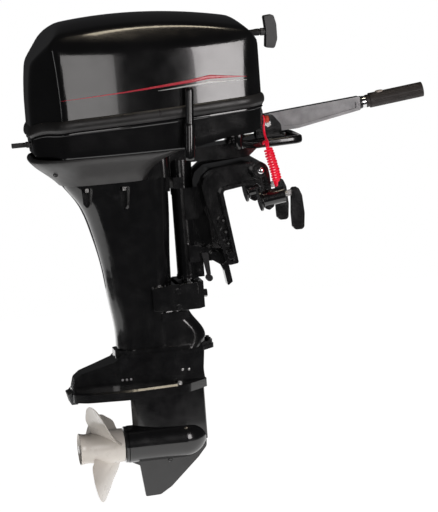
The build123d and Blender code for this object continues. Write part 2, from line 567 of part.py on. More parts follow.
housing = rod((CRANK_X, 0, RECOIL_Z), (CRANK_X, 0, 350), 100) - rod((CRANK_X, 0, 300), (CRANK_X, 0, 346), 94)
for turn in range(8):
    hole = Rot(0, 0, 45 * turn + 22.5) * Pos(68, 0, 348) * Cylinder(11, 10)
    housing -= Pos(CRANK_X, 0, 0) * hole
housing += rod((CRANK_X, 0, 316), (CRANK_X, 0, 348), 8)
housing -= rod((-60, ROPE_Y, ROPE_Z), (-20, ROPE_Y, ROPE_Z), 5) + \
    block(-60, -20, ROPE_Y - 5, ROPE_Y + 5, 310, ROPE_Z)
for x, y in ((-213, -40), (-213, 40), (-29, 0)):
    housing += rod((x, y, 288), (x, y, RECOIL_Z + 4), 4.5)
parts["recoil_housing"] = housing

parts["starter_rope"] = rod((CRANK_X, ROPE_Y, ROPE_Z), (114, ROPE_Y, ROPE_Z), 2.4)
pull = rod((109, ROPE_Y, ROPE_Z), (122, ROPE_Y, ROPE_Z), 8)
bar = [(117, 289), (136, 286), (143, 305), (143, 336), (138, 357), (117, 355), (120, 322)]
pull += side_prism(bar, ROPE_Y - 11, ROPE_Y + 11, [4, 6, 20, 20, 6, 4, 60])
parts["recoil_handle"] = pull - rod((100, ROPE_Y, ROPE_Z), (114, ROPE_Y, ROPE_Z), 2.4)


# ---- controls on the bottom cowl ---------------------------------------------------------------
switch = rod((62, SWITCH_Y, SWITCH_Z), (95, SWITCH_Y, SWITCH_Z), 8)
switch += rod((COWL_FRONT, SWITCH_Y, SWITCH_Z), (98, SWITCH_Y, SWITCH_Z), 12)
parts["stop_switch"] = switch - rod((84, SWITCH_Y, SWITCH_Z), (99, SWITCH_Y, SWITCH_Z), 4.1)
parts["stop_button"] = rod((88, SWITCH_Y, SWITCH_Z), (105, SWITCH_Y, SWITCH_Z), 4) + \
    rod((104, SWITCH_Y, SWITCH_Z), (111, SWITCH_Y, SWITCH_Z), 7.5)
parts["choke_knob"] = rod((56, CHOKE_Y, CHOKE_Z), (100, CHOKE_Y, CHOKE_Z), 5) + \
    rod((95, CHOKE_Y, CHOKE_Z), (110, CHOKE_Y, CHOKE_Z), 9)

FUEL_Y, FUEL_Z = 82, 146
fuel = rod((80, FUEL_Y, FUEL_Z), (COWL_FRONT, FUEL_Y, FUEL_Z), 8)
fuel += rod((COWL_FRONT, FUEL_Y, FUEL_Z), (100, FUEL_Y, FUEL_Z), 14)
for y in (-7, 7):
    fuel += rod((100, FUEL_Y + y, FUEL_Z), (114, FUEL_Y + y, FUEL_Z), 2.5)
parts["fuel_connector"] = fuel - rod((79, FUEL_Y, FUEL_Z), (101, FUEL_Y, FUEL_Z), 3)
parts["bottom_cowl"] -= rod((80, FUEL_Y, FUEL_Z), (100, FUEL_Y, FUEL_Z), 8.2)

lever = rod((SHIFT_X, -128, SHIFT_Z), (SHIFT_X, -158, SHIFT_Z), 5)
lever += rod((SHIFT_X - 2, -161, 108), (SHIFT_X + 1, -161, 156), 8.5)
lever += rod((SHIFT_X + 1, -161, 150), (SHIFT_X + 6, -161, 224), 6)
lever += Pos(SHIFT_X + 6, -161, 225) * Sphere(6.3)
parts["shift_lever"] = lever
parts["shift_rod"] = rod((SHIFT_ROD_X, 0, -490), (SHIFT_ROD_X, 0, 118), 4)


# ---- drive train -------------------------------------------------------------------------------
parts["drive_shaft"] = rod((CRANK_X, 0, -502), (CRANK_X, 0, 140.5), 7)

PUMP_Z0, PUMP_Z1 = -359.5, -318
pump = rod((CRANK_X, 0, PUMP_Z0), (CRANK_X, 0, PUMP_Z1), 24)
pump -= rod((CRANK_X, 0, -353), (CRANK_X, 0, -331), 17)
parts["water_pump_housing"] = pump - rod((CRANK_X, 0, -365), (CRANK_X, 0, -310), 7.3)
impeller = rod((CRANK_X, 0, -351), (CRANK_X, 0, -333), 10)
for turn in range(6):
    impeller += Pos(CRANK_X, 0, 0) * Rot(0, 0, 60 * turn) * block(8, 16, -1.5, 1.5, -351, -333)
parts["water_impeller"] = impeller - rod((CRANK_X, 0, -360), (CRANK_X, 0, -320), 7)


def bevel_gear(teeth, pitch_radius, mate_radius, bore, hub_length, phase):
    """Straight bevel gear with its cone apex at the origin and its back face towards +Z."""
    cone = hypot(pitch_radius, mate_radius)
    angle = atan(pitch_radius / mate_radius)
    face = 8.5
    thick = 0.32 * 2 * pi * pitch_radius / teeth
    root_in, root_out, tip = -1.5, -1.5, 0.9

    def at(distance, rise):
        """Radius and height of a point along the pitch cone, moved outwards by rise."""
        return (distance * sin(angle) + rise * cos(angle), distance * cos(angle) - rise * sin(angle))

    inner, outer = at(cone - face, root_in), at(cone, root_out)
    back = outer[1] + 2
    profile = [(0, inner[1]), inner, outer, (outer[0], back), (bore + 6, back), (bore + 6, back + hub_length),
               (0, back + hub_length)]
    view = Plane(origin=(0, 0, 0), x_dir=(1, 0, 0), z_dir=(0, -1, 0))
    body = revolve(view * make_face(Polyline(*profile, close=True)), Axis.Z, 360)
    shrink = (cone - face) / cone
    for k in range(teeth):
        ends = []
        for distance, scale in ((cone, 1), (cone - face, shrink)):
            low, high = at(distance, root_out - 0.6), at(distance, tip * scale)
            wide, narrow = thick * scale * 0.62, thick * scale * 0.34
            ends.append(Polyline((low[0], -wide, low[1]), (high[0], -narrow, high[1]),
                                 (high[0], narrow, high[1]), (low[0], wide, low[1]), close=True))
        tooth = loft([make_face(end) for end in ends])
        body += Rot(0, 0, 360 * (k + phase) / teeth) * tooth
    return body - Pos(0, 0, 20) * Cylinder(bore, 100)


apex = Location((CRANK_X, 0, PROP_Z))
parts["pinion_gear"] = apex * bevel_gear(PINION_TEETH, PINION_R, GEAR_R, 7, 6, 0)
# a turned recess in each driven gear takes the dogs of the clutch
recess = Pos(0, 0, 8) * Cylinder(14, 8)
front_gear = bevel_gear(GEAR_TEETH, GEAR_R, PINION_R, 9 + 4 * FIT, 14, 0.5) - recess
rear_gear = bevel_gear(GEAR_TEETH, GEAR_R, PINION_R, 9 + 4 * FIT, 14, 0) - recess
# Tipped so that the tooth space, or the tooth, that starts along X ends at the top of the gear.
parts["forward_gear"] = apex * Rot(0, 90, 0) * Rot(0, 0, 180) * front_gear
parts["reverse_gear"] = apex * Rot(0, -90, 0) * rear_gear

clutch = rod((CRANK_X - 6, 0, PROP_Z), (CRANK_X + 6, 0, PROP_Z), 13.5)
for x in (-1, 1):
    for angle in (0, 90, 180, 270):
        dog = block(0, 2, 9.6, 13, -2.5, 2.5)
        clutch += Pos(CRANK_X + (6 if x > 0 else -8), 0, PROP_Z) * Rot(angle, 0, 0) * dog
parts["dog_clutch"] = clutch - rod((CRANK_X - 20, 0, PROP_Z), (CRANK_X + 20, 0, PROP_Z), 9 + FIT)

carrier = rod((-236, 0, PROP_Z), (-168, 0, PROP_Z), 35.8) + rod((-238, 0, PROP_Z), (-231.3, 0, PROP_Z), 39)
carrier -= rod((-238.5, 0, PROP_Z), (-205, 0, PROP_Z), 29) - rod((-240, 0, PROP_Z), (-200, 0, PROP_Z), 16)
parts["bearing_carrier"] = carrier - rod((-240, 0, PROP_Z), (-160, 0, PROP_Z), 9 + FIT)

shaft = rod((-336, 0, PROP_Z), (-90, 0, PROP_Z), 9)
parts["propeller_shaft"] = shaft

HUB_FRONT, HUB_REAR, HUB_STOP = -239.5, -335, -316


def blade():
    """One blade, standing along +Z from the propeller axis, as a loft of thin oval sections."""
    faces = []
    stations = ((24, 80, 10, -284), (45, 104, 8, -286), (70, 112, 6, -290), (95, 92, 4.2, -295),
                (110, 56, 3.0, -298), (PROP_R, 16, 2.4, -299))
    for radius, chord, thick, middle in stations:
        pitch = atan(PROP_PITCH / (2 * pi * radius))
        # the section lies across the radius; its long side follows the helix
        along = Vector(sin(pitch), -cos(pitch), 0)
        c, t = chord / 2, thick / 2
        lens = [ThreePointArc((-c, 0), (0, t), (c, 0)), ThreePointArc((c, 0), (0, -t), (-c, 0))]
        faces.append(Plane(origin=(middle, 0, radius), x_dir=along, z_dir=(0, 0, 1)) * make_face(lens))
    return loft(faces)


def propeller():
    view = Plane(origin=(0, 0, PROP_Z), x_dir=(1, 0, 0), z_dir=(0, -1, 0))
    axis = Axis((0, 0, PROP_Z), (1, 0, 0))
    shell = [(HUB_FRONT, 29), (HUB_FRONT, 36), (-268, 36.3), (-322, 31), (HUB_REAR, 34.5), (HUB_REAR, 32),
             (-322, 27), (-268, 29)]
    body = revolve(view * make_face(Polyline(*shell, close=True)), axis, 360)
    body += rod((HUB_STOP, 0, PROP_Z), (HUB_FRONT, 0, PROP_Z), 17)
    rib = block(HUB_STOP, HUB_FRONT - 8, -2.5, 2.5, 14, 30)
    fin = blade()
    fin -= rod((-400, 0, 0), (-200, 0, 0), 30)
    for k in range(BLADES):
        turn = Pos(0, 0, PROP_Z) * Rot(PROP_PHASE + 360 * k / BLADES, 0, 0)
        body += turn * fin
        body += turn * Rot(60, 0, 0) * rib
    return body - rod((-350, 0, PROP_Z), (-230, 0, PROP_Z), 9)


parts["propeller"] = propeller()
nut = hex_rod((HUB_STOP - 14, 0, PROP_Z), (HUB_STOP, 0, PROP_Z), 27) + \
    rod((HUB_STOP - 3, 0, PROP_Z), (HUB_STOP, 0, PROP_Z), 15.6)
nut += rod((HUB_STOP - 9, 0, PROP_Z - 17), (HUB_STOP - 9, 0, PROP_Z + 17), 1.8)
parts["propeller_nut"] = nut - rod((-350, 0, PROP_Z), (-300, 0, PROP_Z), 9)


# ---- stop lanyard ------------------------------------------------------------------------------
LEAD_R, COIL_R = 2.0, 11.0
clip = rod((98.3, SWITCH_Y, SWITCH_Z), (101.3, SWITCH_Y, SWITCH_Z), 10)
clip += block(98.3, 101.3, SWITCH_Y - 4, SWITCH_Y + 4, SWITCH_Z - 22, SWITCH_Z)
clip -= rod((97, SWITCH_Y, SWITCH_Z), (103, SWITCH_Y, SWITCH_Z), 4.6)
clip -= block(97, 103, SWITCH_Y - 4.6, SWITCH_Y + 4.6, SWITCH_Z, SWITCH_Z + 12)
parts["lanyard_clip"] = clip


def cord_radii(points, largest=200.0):
    """Arc for each corner: 0.45 of the shorter run over the tangent of half the turn."""
    radii = []
    for before, here, after in zip(points, points[1:], points[2:]):
        a, b = Vector(*here) - Vector(*before), Vector(*after) - Vector(*here)
        half_turn = radians(a.get_angle(b) / 2)
        radii.append(min(largest, 0.45 * min(a.length, b.length) * cos(half_turn) / sin(half_turn)))
    return radii


def cord_tube(points, radius):
    radii = cord_radii(points)
    print("cord radii", [round(r, 1) for r in radii])
    path = FilletPolyline(*points, radius=radii)
    tube = sweep(Plane(origin=path @ 0, z_dir=path % 0) * Circle(radius), path=path)
    print("volume over section times length", round(tube.volume / (pi * radius ** 2 * path.length), 4))
    return tube


LEAD = [(99.8, -66, 118), (100, -68, 109), (100, -77, 102), (99.5, -92, 99), (98, -107, 98), (96, -116, 94),
        (95.5, -119, 86)]
COIL = [(95.5, -119, 86), (98, -119.5, 72), (103, -119.5, 52), (107.5, -119.5, 32), (109.5, -119.5, 15)]
RETURN = [(109.5, -119.5, 15), (109.5, -119, 8), (108.5, -112, 3), (107.5, -105, 7), (106.5, -104.5, 18),
          (103, -104.5, 42), (98, -104.5, 66), (96.5, -104, 86), (96, -97, 94.5), (96, -86, 96),
          (95.5, -76, 94), (95.5, -70, 89)]
strands = [cord_tube(LEAD, LEAD_R), cord_tube(RETURN, LEAD_R)]
parts["lanyard_lead"] = Compound([solid for strand in strands for solid in strand.solids()])
parts["lanyard_coil"] = cord_tube(COIL, COIL_R)


def save_all():
    os.makedirs("parts", exist_ok=True)
    for name, shape in parts.items():
        export_step(shape, f"parts/{name}.step")


save_all()
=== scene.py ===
import json
from math import cos, pi, radians, sin

import bmesh
import bpy
import numpy as np
from mathutils import Matrix, Vector
from mathutils.bvhtree import BVHTree


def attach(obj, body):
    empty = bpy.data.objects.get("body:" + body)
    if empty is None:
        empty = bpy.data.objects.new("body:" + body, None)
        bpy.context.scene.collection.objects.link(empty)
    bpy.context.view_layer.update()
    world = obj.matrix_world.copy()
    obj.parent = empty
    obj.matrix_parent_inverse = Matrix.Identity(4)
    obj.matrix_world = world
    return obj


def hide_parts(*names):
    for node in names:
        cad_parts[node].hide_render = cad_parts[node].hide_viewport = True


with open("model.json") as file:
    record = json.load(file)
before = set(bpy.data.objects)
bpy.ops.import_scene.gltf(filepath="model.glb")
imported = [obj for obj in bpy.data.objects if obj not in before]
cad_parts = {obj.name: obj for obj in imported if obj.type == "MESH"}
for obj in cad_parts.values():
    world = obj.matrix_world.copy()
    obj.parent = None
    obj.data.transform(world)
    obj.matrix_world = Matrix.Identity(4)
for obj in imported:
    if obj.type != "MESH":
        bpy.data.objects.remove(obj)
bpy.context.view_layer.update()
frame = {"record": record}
scene = bpy.context.scene
MM = 0.001


# ---- camera --------------------------------------------------------------------------------------
AZIMUTH, ELEVATION, ROLL = radians(-10), radians(9), radians(4.2)
CAMERA_DISTANCE = 6.0
LOOK_AT = Vector((-0.0035, 0, -0.1492))


def add_camera():
    """Camera at the photo's angle and roll."""
    a, e, r = AZIMUTH, ELEVATION, ROLL
    back = Vector((sin(a) * cos(e), -cos(a) * cos(e), sin(e)))
    right = Vector((cos(a), sin(a), 0))
    up = Vector((-sin(a) * sin(e), cos(a) * sin(e), cos(e)))
    x_axis = right * cos(r) - up * sin(r)
    y_axis = right * sin(r) + up * cos(r)
    data = bpy.data.cameras.new("camera")
    data.lens = 198.5
    data.clip_end = 50
    camera = bpy.data.objects.new("camera", data)
    turn = Matrix((x_axis, y_axis, back)).transposed().to_4x4()
    camera.matrix_world = Matrix.Translation(LOOK_AT + back * CAMERA_DISTANCE) @ turn
    scene.collection.objects.link(camera)
    scene.camera = camera


add_camera()


# ---- materials -----------------------------------------------------------------------------------
def new_material(name, colour, rough, metallic=0.0, coat=0.0, coat_rough=0.03, specular=0.5):
    """Principled material, returned with its node tree and its shader."""
    m = bpy.data.materials.new(name)
    m.use_nodes = True
    shader = m.node_tree.nodes["Principled BSDF"]
    shader.inputs["Base Color"].default_value = (*colour, 1)
    shader.inputs["Roughness"].default_value = rough
    shader.inputs["Metallic"].default_value = metallic
    shader.inputs["Specular IOR Level"].default_value = specular
    shader.inputs["Coat Weight"].default_value = coat
    shader.inputs["Coat Roughness"].default_value = coat_rough
    return m, m.node_tree, shader


def noise(tree, scale, detail=3.0, stretch=(1, 1, 1)):
    """Noise in the object's own coordinates; a larger scale gives finer grain."""
    place = tree.nodes.new("ShaderNodeTexCoord")
    mapping = tree.nodes.new("ShaderNodeMapping")
    mapping.inputs["Scale"].default_value = stretch
    tree.links.new(place.outputs["Object"], mapping.inputs["Vector"])
    tex = tree.nodes.new("ShaderNodeTexNoise")
    tex.inputs["Scale"].default_value = scale
    tex.inputs["Detail"].default_value = detail
    tree.links.new(mapping.outputs["Vector"], tex.inputs["Vector"])
    return tex.outputs["Fac"]


def ramp(tree, value, low, high, out_low, out_high):
    """Maps a value between two limits onto two colours or two grey levels."""
    node = tree.nodes.new("ShaderNodeValToRGB")
    first, last = node.color_ramp.elements
    first.position, last.position = low, high
    first.color = out_low if len(out_low) == 4 else (*out_low, 1)
    last.color = out_high if len(out_high) == 4 else (*out_high, 1)
    tree.links.new(value, node.inputs["Fac"])
    return node.outputs["Color"]


def grey(value):
    """Colour of one grey level, for a ramp's stop."""
    return (value, value, value, 1)


def bump(tree, shader, value, strength, distance):
    """Fine relief in a shader from a height value; the distance is in metres."""
    node = tree.nodes.new("ShaderNodeBump")
    node.inputs["Strength"].default_value = strength
    node.inputs["Distance"].default_value = distance
    tree.links.new(value, node.inputs["Height"])
    tree.links.new(node.outputs["Normal"], shader.inputs["Normal"])


def edge_wear(tree, colour, worn, amount=0.5):
    """Lightens sharp convex edges a little, broken up by noise."""
    geometry = tree.nodes.new("ShaderNodeNewGeometry")
    edge = ramp(tree, geometry.outputs["Pointiness"], 0.53, 0.62, grey(0), grey(amount))
    patch = ramp(tree, noise(tree, 60, 4), 0.45, 0.65, grey(0), grey(1))
    both = tree.nodes.new("ShaderNodeMath")
    both.operation = "MULTIPLY"
    tree.links.new(edge, both.inputs[0])
    tree.links.new(patch, both.inputs[1])
    mix = tree.nodes.new("ShaderNodeMix")
    mix.data_type = "RGBA"
    tree.links.new(both.outputs[0], mix.inputs["Factor"])
    tree.links.new(colour, mix.inputs["A"])
    mix.inputs["B"].default_value = (*worn, 1)
    return mix.outputs["Result"]


def gloss_black():
    """Sprayed gloss enamel with a faint orange peel under a clear coat."""
    m, tree, shader = new_material("gloss_black", (0.006, 0.006, 0.007), 0.16, coat=0.6)
    tint = ramp(tree, noise(tree, 9, 5), 0.35, 0.7, (0.0045, 0.0045, 0.005), (0.009, 0.009, 0.0095))
    tree.links.new(tint, shader.inputs["Base Color"])
    rough = ramp(tree, noise(tree, 30, 4), 0.3, 0.8, grey(0.11), grey(0.2))
    tree.links.new(rough, shader.inputs["Roughness"])
    bump(tree, shader, noise(tree, 650, 2), 0.05, 0.0004)
    return m


def cast_black():
    """Painted casting: thick black enamel over a slightly uneven surface."""
    m, tree, shader = new_material("cast_black", (0.005, 0.005, 0.006), 0.2, coat=0.6, coat_rough=0.06)
    tint = ramp(tree, noise(tree, 14, 5), 0.35, 0.7, (0.0035, 0.0035, 0.004), (0.008, 0.008, 0.0085))
    tree.links.new(edge_wear(tree, tint, (0.03, 0.03, 0.032), 0.4), shader.inputs["Base Color"])
    rough = ramp(tree, noise(tree, 45, 5), 0.3, 0.75, grey(0.14), grey(0.26))
    tree.links.new(rough, shader.inputs["Roughness"])
    bump(tree, shader, noise(tree, 300, 4), 0.07, 0.0005)
    return m


def sheen_painted_grey():
    """Black satin enamel of the tiller arm, whose mottled grey base colour is a painted reflection of the
    softboxes.
    """
    m, tree, shader = new_material("sheen_painted_grey", (0.06, 0.06, 0.065), 0.34, coat=0.3, coat_rough=0.25)
    # painted reflection: a grey base colour on a black arm, standing in for light mirrored by its flat sides
    tint = ramp(tree, noise(tree, 34, 5), 0.35, 0.7, (0.26, 0.26, 0.27), (0.46, 0.45, 0.47))
    tree.links.new(edge_wear(tree, tint, (0.2, 0.2, 0.2), 0.5), shader.inputs["Base Color"])
    rough = ramp(tree, noise(tree, 60, 4), 0.3, 0.75, grey(0.28), grey(0.42))
    tree.links.new(rough, shader.inputs["Roughness"])
    bump(tree, shader, noise(tree, 900, 3), 0.12, 0.0004)
    return m


def moulded(name, colour, rough, grain=1400, depth=0.16):
    """Moulded plastic with a fine spark-eroded grain."""
    m, tree, shader = new_material(name, colour, rough)
    dark = tuple(c * 0.8 for c in colour)
    light = tuple(min(1, c * 1.25) for c in colour)
    tint = ramp(tree, noise(tree, 25, 4), 0.35, 0.7, dark, light)
    tree.links.new(tint, shader.inputs["Base Color"])
    sheen = ramp(tree, noise(tree, 50, 4), 0.3, 0.75, grey(rough * 0.85), grey(min(1, rough * 1.2)))
    tree.links.new(sheen, shader.inputs["Roughness"])
    bump(tree, shader, noise(tree, grain, 3), depth, 0.0003)
    return m


def rubber(name, colour, rough):
    """Dull rubber or fibre with a little dust in the hollows."""
    m, tree, shader = new_material(name, colour, rough, specular=0.4)
    dust = tuple(c * 1.6 + 0.006 for c in colour)
    tint = ramp(tree, noise(tree, 18, 6), 0.42, 0.72, colour, dust)
    tree.links.new(tint, shader.inputs["Base Color"])
    sheen = ramp(tree, noise(tree, 35, 5), 0.3, 0.7, grey(rough - 0.06), grey(rough + 0.1))
    tree.links.new(sheen, shader.inputs["Roughness"])
    bump(tree, shader, noise(tree, 700, 4), 0.18, 0.0004)
    return m


def metal(name, colour, rough, stretch=(1, 1, 1), depth=0.08, scale=300):
    """Bare metal; stretch draws its fine marks out along one axis."""
    m, tree, shader = new_material(name, colour, rough, metallic=1.0)
    dark = tuple(c * 0.78 for c in colour)
    tint = ramp(tree, noise(tree, 40, 5), 0.35, 0.7, dark, colour)
    tree.links.new(tint, shader.inputs["Base Color"])
    sheen = ramp(tree, noise(tree, scale, 4, stretch), 0.3, 0.7, grey(rough * 0.75), grey(rough * 1.3))
    tree.links.new(sheen, shader.inputs["Roughness"])
    bump(tree, shader, noise(tree, scale * 2, 3, stretch), depth, 0.0003)
    return m


def paint(name, colour, rough, coat=0.5, coat_rough=0.08, peel=500):
    """Plain enamel with slight tone changes and orange peel."""
    m, tree, shader = new_material(name, colour, rough, coat=coat, coat_rough=coat_rough)
    light = tuple(min(1, c * 1.05) for c in colour)
    dull = tuple(c * 0.9 for c in colour)
    tree.links.new(ramp(tree, noise(tree, 16, 5), 0.3, 0.7, dull, light), shader.inputs["Base Color"])
    sheen = ramp(tree, noise(tree, 40, 4), 0.3, 0.75, grey(rough * 0.8), grey(rough * 1.3))
    tree.links.new(sheen, shader.inputs["Roughness"])
    bump(tree, shader, noise(tree, peel, 3), 0.1, 0.0004)
    return m


GLOSS = gloss_black()
CAST = cast_black()
SHEEN_PAINTED_GREY = sheen_painted_grey()
BAND = rubber("band_rubber", (0.030, 0.029, 0.029), 0.33)
GRIP = rubber("grip_rubber", (0.034, 0.029, 0.027), 0.5)
DARK_RUBBER = rubber("dark_rubber", (0.015, 0.015, 0.015), 0.6)
BLACK_PLASTIC = moulded("black_plastic", (0.012, 0.012, 0.013), 0.3)
APRON_BLACK = paint("apron_black", (0.03, 0.0285, 0.0285), 0.42, coat=0.25, coat_rough=0.3)
GREY_PLASTIC = moulded("grey_plastic", (0.06, 0.062, 0.064), 0.42)
RED_PLASTIC = moulded("red_plastic", (0.75, 0.07, 0.02), 0.28)
GLOWING_CORD_RED = moulded("cord_red_painted_glow", (0.90, 0.012, 0.05), 0.32, grain=2500, depth=0.05)
# painted glow: the cord emits light of its own so that it stands out brighter than its surroundings
painted_glow = GLOWING_CORD_RED.node_tree.nodes["Principled BSDF"].inputs
painted_glow["Emission Color"].default_value = (0.9, 0.004, 0.03, 1)
painted_glow["Emission Strength"].default_value = 0.3
PALE_PLASTIC = moulded("pale_plastic", (0.62, 0.55, 0.50), 0.25)
STAINLESS = metal("stainless", (0.62, 0.61, 0.60), 0.26)
STEEL = metal("machined_steel", (0.45, 0.44, 0.43), 0.34, (1, 1, 12))
CHROME = metal("chrome", (0.82, 0.82, 0.83), 0.07, depth=0.02)
ALLOY = metal("cast_alloy", (0.52, 0.52, 0.53), 0.48, depth=0.3, scale=160)
IRON = metal("grey_iron", (0.20, 0.19, 0.18), 0.5, depth=0.25, scale=200)
ZINC = paint("zinc_grey", (0.075, 0.077, 0.08), 0.55, coat=0.0, peel=260)
IVORY = paint("propeller_white", (0.70, 0.655, 0.60), 0.3)
WHITE = paint("decal_white", (0.82, 0.82, 0.81), 0.25, coat=0.4)
RED = paint("decal_red", (0.72, 0.02, 0.05), 0.25, coat=0.4)
PORCELAIN = paint("porcelain", (0.82, 0.81, 0.78), 0.15)
ROPE = rubber("rope_fibre", (0.55, 0.53, 0.48), 0.7)


# ---- mesh helpers --------------------------------------------------------------------------------
def body_of(node):
    """Name of the body that carries a CAD node."""
    for name, nodes in frame["record"]["behaviour"]["bodies"].items():
        if node in nodes:
            return name
    raise ValueError(node)


def placed(obj, body, material, sharp=35):
    """Gives a piece its smooth shading, material and slot, and lets it ride on a body."""
    mesh = obj.data
    for face in mesh.polygons:
        face.use_smooth = True
    mesh.set_sharp_from_angle(angle=radians(sharp))
    mesh.materials.clear()
    mesh.materials.append(material)
    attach(obj, body)
    return obj


def mesh_object(name, verts, faces):
    """A mesh from points in millimetres."""
    mesh = bpy.data.meshes.new(name)
    mesh.from_pydata([Vector(v) * MM for v in verts], [], faces)
    mesh.validate()
    mesh.update()
    obj = bpy.data.objects.new(name, mesh)
    scene.collection.objects.link(obj)
    return obj


def fix_normals(obj):
    """Turns all faces outwards."""
    bm = bmesh.new()
    bm.from_mesh(obj.data)
    bmesh.ops.recalc_face_normals(bm, faces=bm.faces)
    bm.to_mesh(obj.data)
    bm.free()


WELD = 2e-6               # metres within which corners are the same
FLAT = radians(0.6)       # facets closer than this to one plane are joined
EDGE = radians(32)        # edges sharper than this are rounded


def soften(node, material, width):
    """Replaces a CAD piece with its own shape, its facets joined and its edges rounded by width, in mm."""
    mesh = bpy.data.objects[node].data.copy()
    mesh.name = node + "_finished"
    obj = bpy.data.objects.new(node + "_finished", mesh)
    scene.collection.objects.link(obj)
    bm = bmesh.new()
    bm.from_mesh(mesh)
    bmesh.ops.remove_doubles(bm, verts=bm.verts, dist=WELD)
    bmesh.ops.dissolve_limit(bm, angle_limit=FLAT, verts=bm.verts, edges=bm.edges)
    bm.to_mesh(mesh)
    bm.free()
    bevel = obj.modifiers.new("round", "BEVEL")
    bevel.width = width * MM
    bevel.segments = 2
    bevel.limit_method = "ANGLE"
    bevel.angle_limit = EDGE
    weigh = obj.modifiers.new("weigh", "WEIGHTED_NORMAL")
    weigh.keep_sharp = True
    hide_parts(node)
    return placed(obj, body_of(node), material, sharp=50)


def lathe(name, profile, origin, axis, steps=48):
    """Turns (distance along the axis, radius) points about an axis, in millimetres; closed at both ends."""
    axis = Vector(axis).normalized()
    side = axis.orthogonal().normalized()
    other = axis.cross(side)
    verts, faces = [], []
    for along, radius in profile:
        for k in range(steps):
            t = 2 * pi * k / steps
            verts.append(Vector(origin) + axis * along + (side * cos(t) + other * sin(t)) * radius)
    for i in range(len(profile) - 1):
        for k in range(steps):
            n = (k + 1) % steps
            faces.append((i * steps + k, i * steps + n, (i + 1) * steps + n, (i + 1) * steps + k))
    faces.append(tuple(reversed(range(steps))))
    faces.append(tuple(range((len(profile) - 1) * steps, len(profile) * steps)))
    obj = mesh_object(name, verts, faces)
    fix_normals(obj)
    return obj


def boolean(obj, cutter, operation):
    """Applies a boolean with a cutter, which is then removed."""
    cut = obj.modifiers.new("cut", "BOOLEAN")
    cut.object = cutter
    cut.operation = operation
    cut.solver = "EXACT"
    bpy.context.view_layer.update()
    ready = obj.evaluated_get(bpy.context.evaluated_depsgraph_get())
    mesh = bpy.data.meshes.new_from_object(ready)
    obj.modifiers.clear()
    old = obj.data
    obj.data = mesh
    bpy.data.meshes.remove(old)
    bpy.data.objects.remove(cutter)


def rounded(obj, width, segments):
    """Rounds all edges by width, in millimetres."""
    edge = obj.modifiers.new("round", "BEVEL")
    edge.width = width * MM
    edge.segments = segments


def box_object(name, low, high):
    """Cutter or bar between two corners, in millimetres."""
    x0, y0, z0 = low
    x1, y1, z1 = high
    verts = [(x, y, z) for x in (x0, x1) for y in (y0, y1) for z in (z0, z1)]
    faces = [(0, 1, 3, 2), (4, 6, 7, 5), (0, 4, 5, 1), (2, 3, 7, 6), (0, 2, 6, 4), (1, 5, 7, 3)]
    obj = mesh_object(name, verts, faces)
    fix_normals(obj)
    return obj


# ---- stop lanyard --------------------------------------------------------------------------------
# The route's points, in metres: down from the clip, through the coil, and back up to the handle.
LEAD = [(0.0998, -0.066, 0.118), (0.1, -0.068, 0.109), (0.1, -0.077, 0.102), (0.0995, -0.092, 0.099),
        (0.098, -0.107, 0.098), (0.096, -0.116, 0.094), (0.0955, -0.119, 0.086)]
COIL = [(0.098, -0.1195, 0.072), (0.103, -0.1195, 0.052), (0.1075, -0.1195, 0.032), (0.1095, -0.1195, 0.015)]
RETURN = [(0.1095, -0.119, 0.008), (0.1085, -0.112, 0.003), (0.1075, -0.105, 0.007), (0.1065, -0.1045, 0.018),
          (0.103, -0.1045, 0.042), (0.098, -0.1045, 0.066), (0.0965, -0.104, 0.086), (0.096, -0.097, 0.0945),
          (0.096, -0.086, 0.096), (0.0955, -0.076, 0.094), (0.0955, -0.070, 0.089)]
CORD_R, HELIX_R, HELIX_PITCH = 0.0024, 0.0086, 0.0057
HELIX_SHRINK, HELIX_WAVE = 0.10, 410    # how much narrower some turns are, and how fast that comes and goes
TURN_POINTS = 14          # points in each turn of the helix
STRAIGHT_STEP = 0.006     # spacing of points on the straight strands
LOOK_AHEAD = 0.002        # distance over which the route's direction is taken


def nurbs(name, points, radius=0.0):
    """Smooth curve with the points as its control points; a tube where a radius is given."""
    curve = bpy.data.curves.new(name, "CURVE")
    curve.dimensions = "3D"
    curve.bevel_depth = radius
    curve.bevel_resolution = 3
    curve.use_fill_caps = True
    spline = curve.splines.new("NURBS")
    spline.points.add(len(points) - 1)
    for point, xyz in zip(spline.points, points):
        point.co = (*xyz, 1)
    spline.order_u = 3
    spline.use_endpoint_u = True
    spline.resolution_u = 12 if radius == 0 else 2
    obj = bpy.data.objects.new(name, curve)
    scene.collection.objects.link(obj)
    return obj


def route_points(route):
    """Points along a route's own smooth line, with the distance to each."""
    guide = nurbs("guide", route)
    bpy.context.view_layer.update()
    mesh = bpy.data.meshes.new_from_object(guide)
    points = [v.co.copy() for v in mesh.vertices]
    bpy.data.objects.remove(guide)
    bpy.data.meshes.remove(mesh)
    run = [0.0]
    for a, b in zip(points, points[1:]):
        run.append(run[-1] + (b - a).length)
    return points, run


def along(points, run, s):
    """Point at distance s along a line of points."""
    s = min(max(s, 0), run[-1])
    i = max(k for k in range(len(run) - 1) if run[k] <= s) if s < run[-1] else len(run) - 2
    t = (s - run[i]) / max(run[i + 1] - run[i], 1e-9)
    return points[i].lerp(points[i + 1], t)


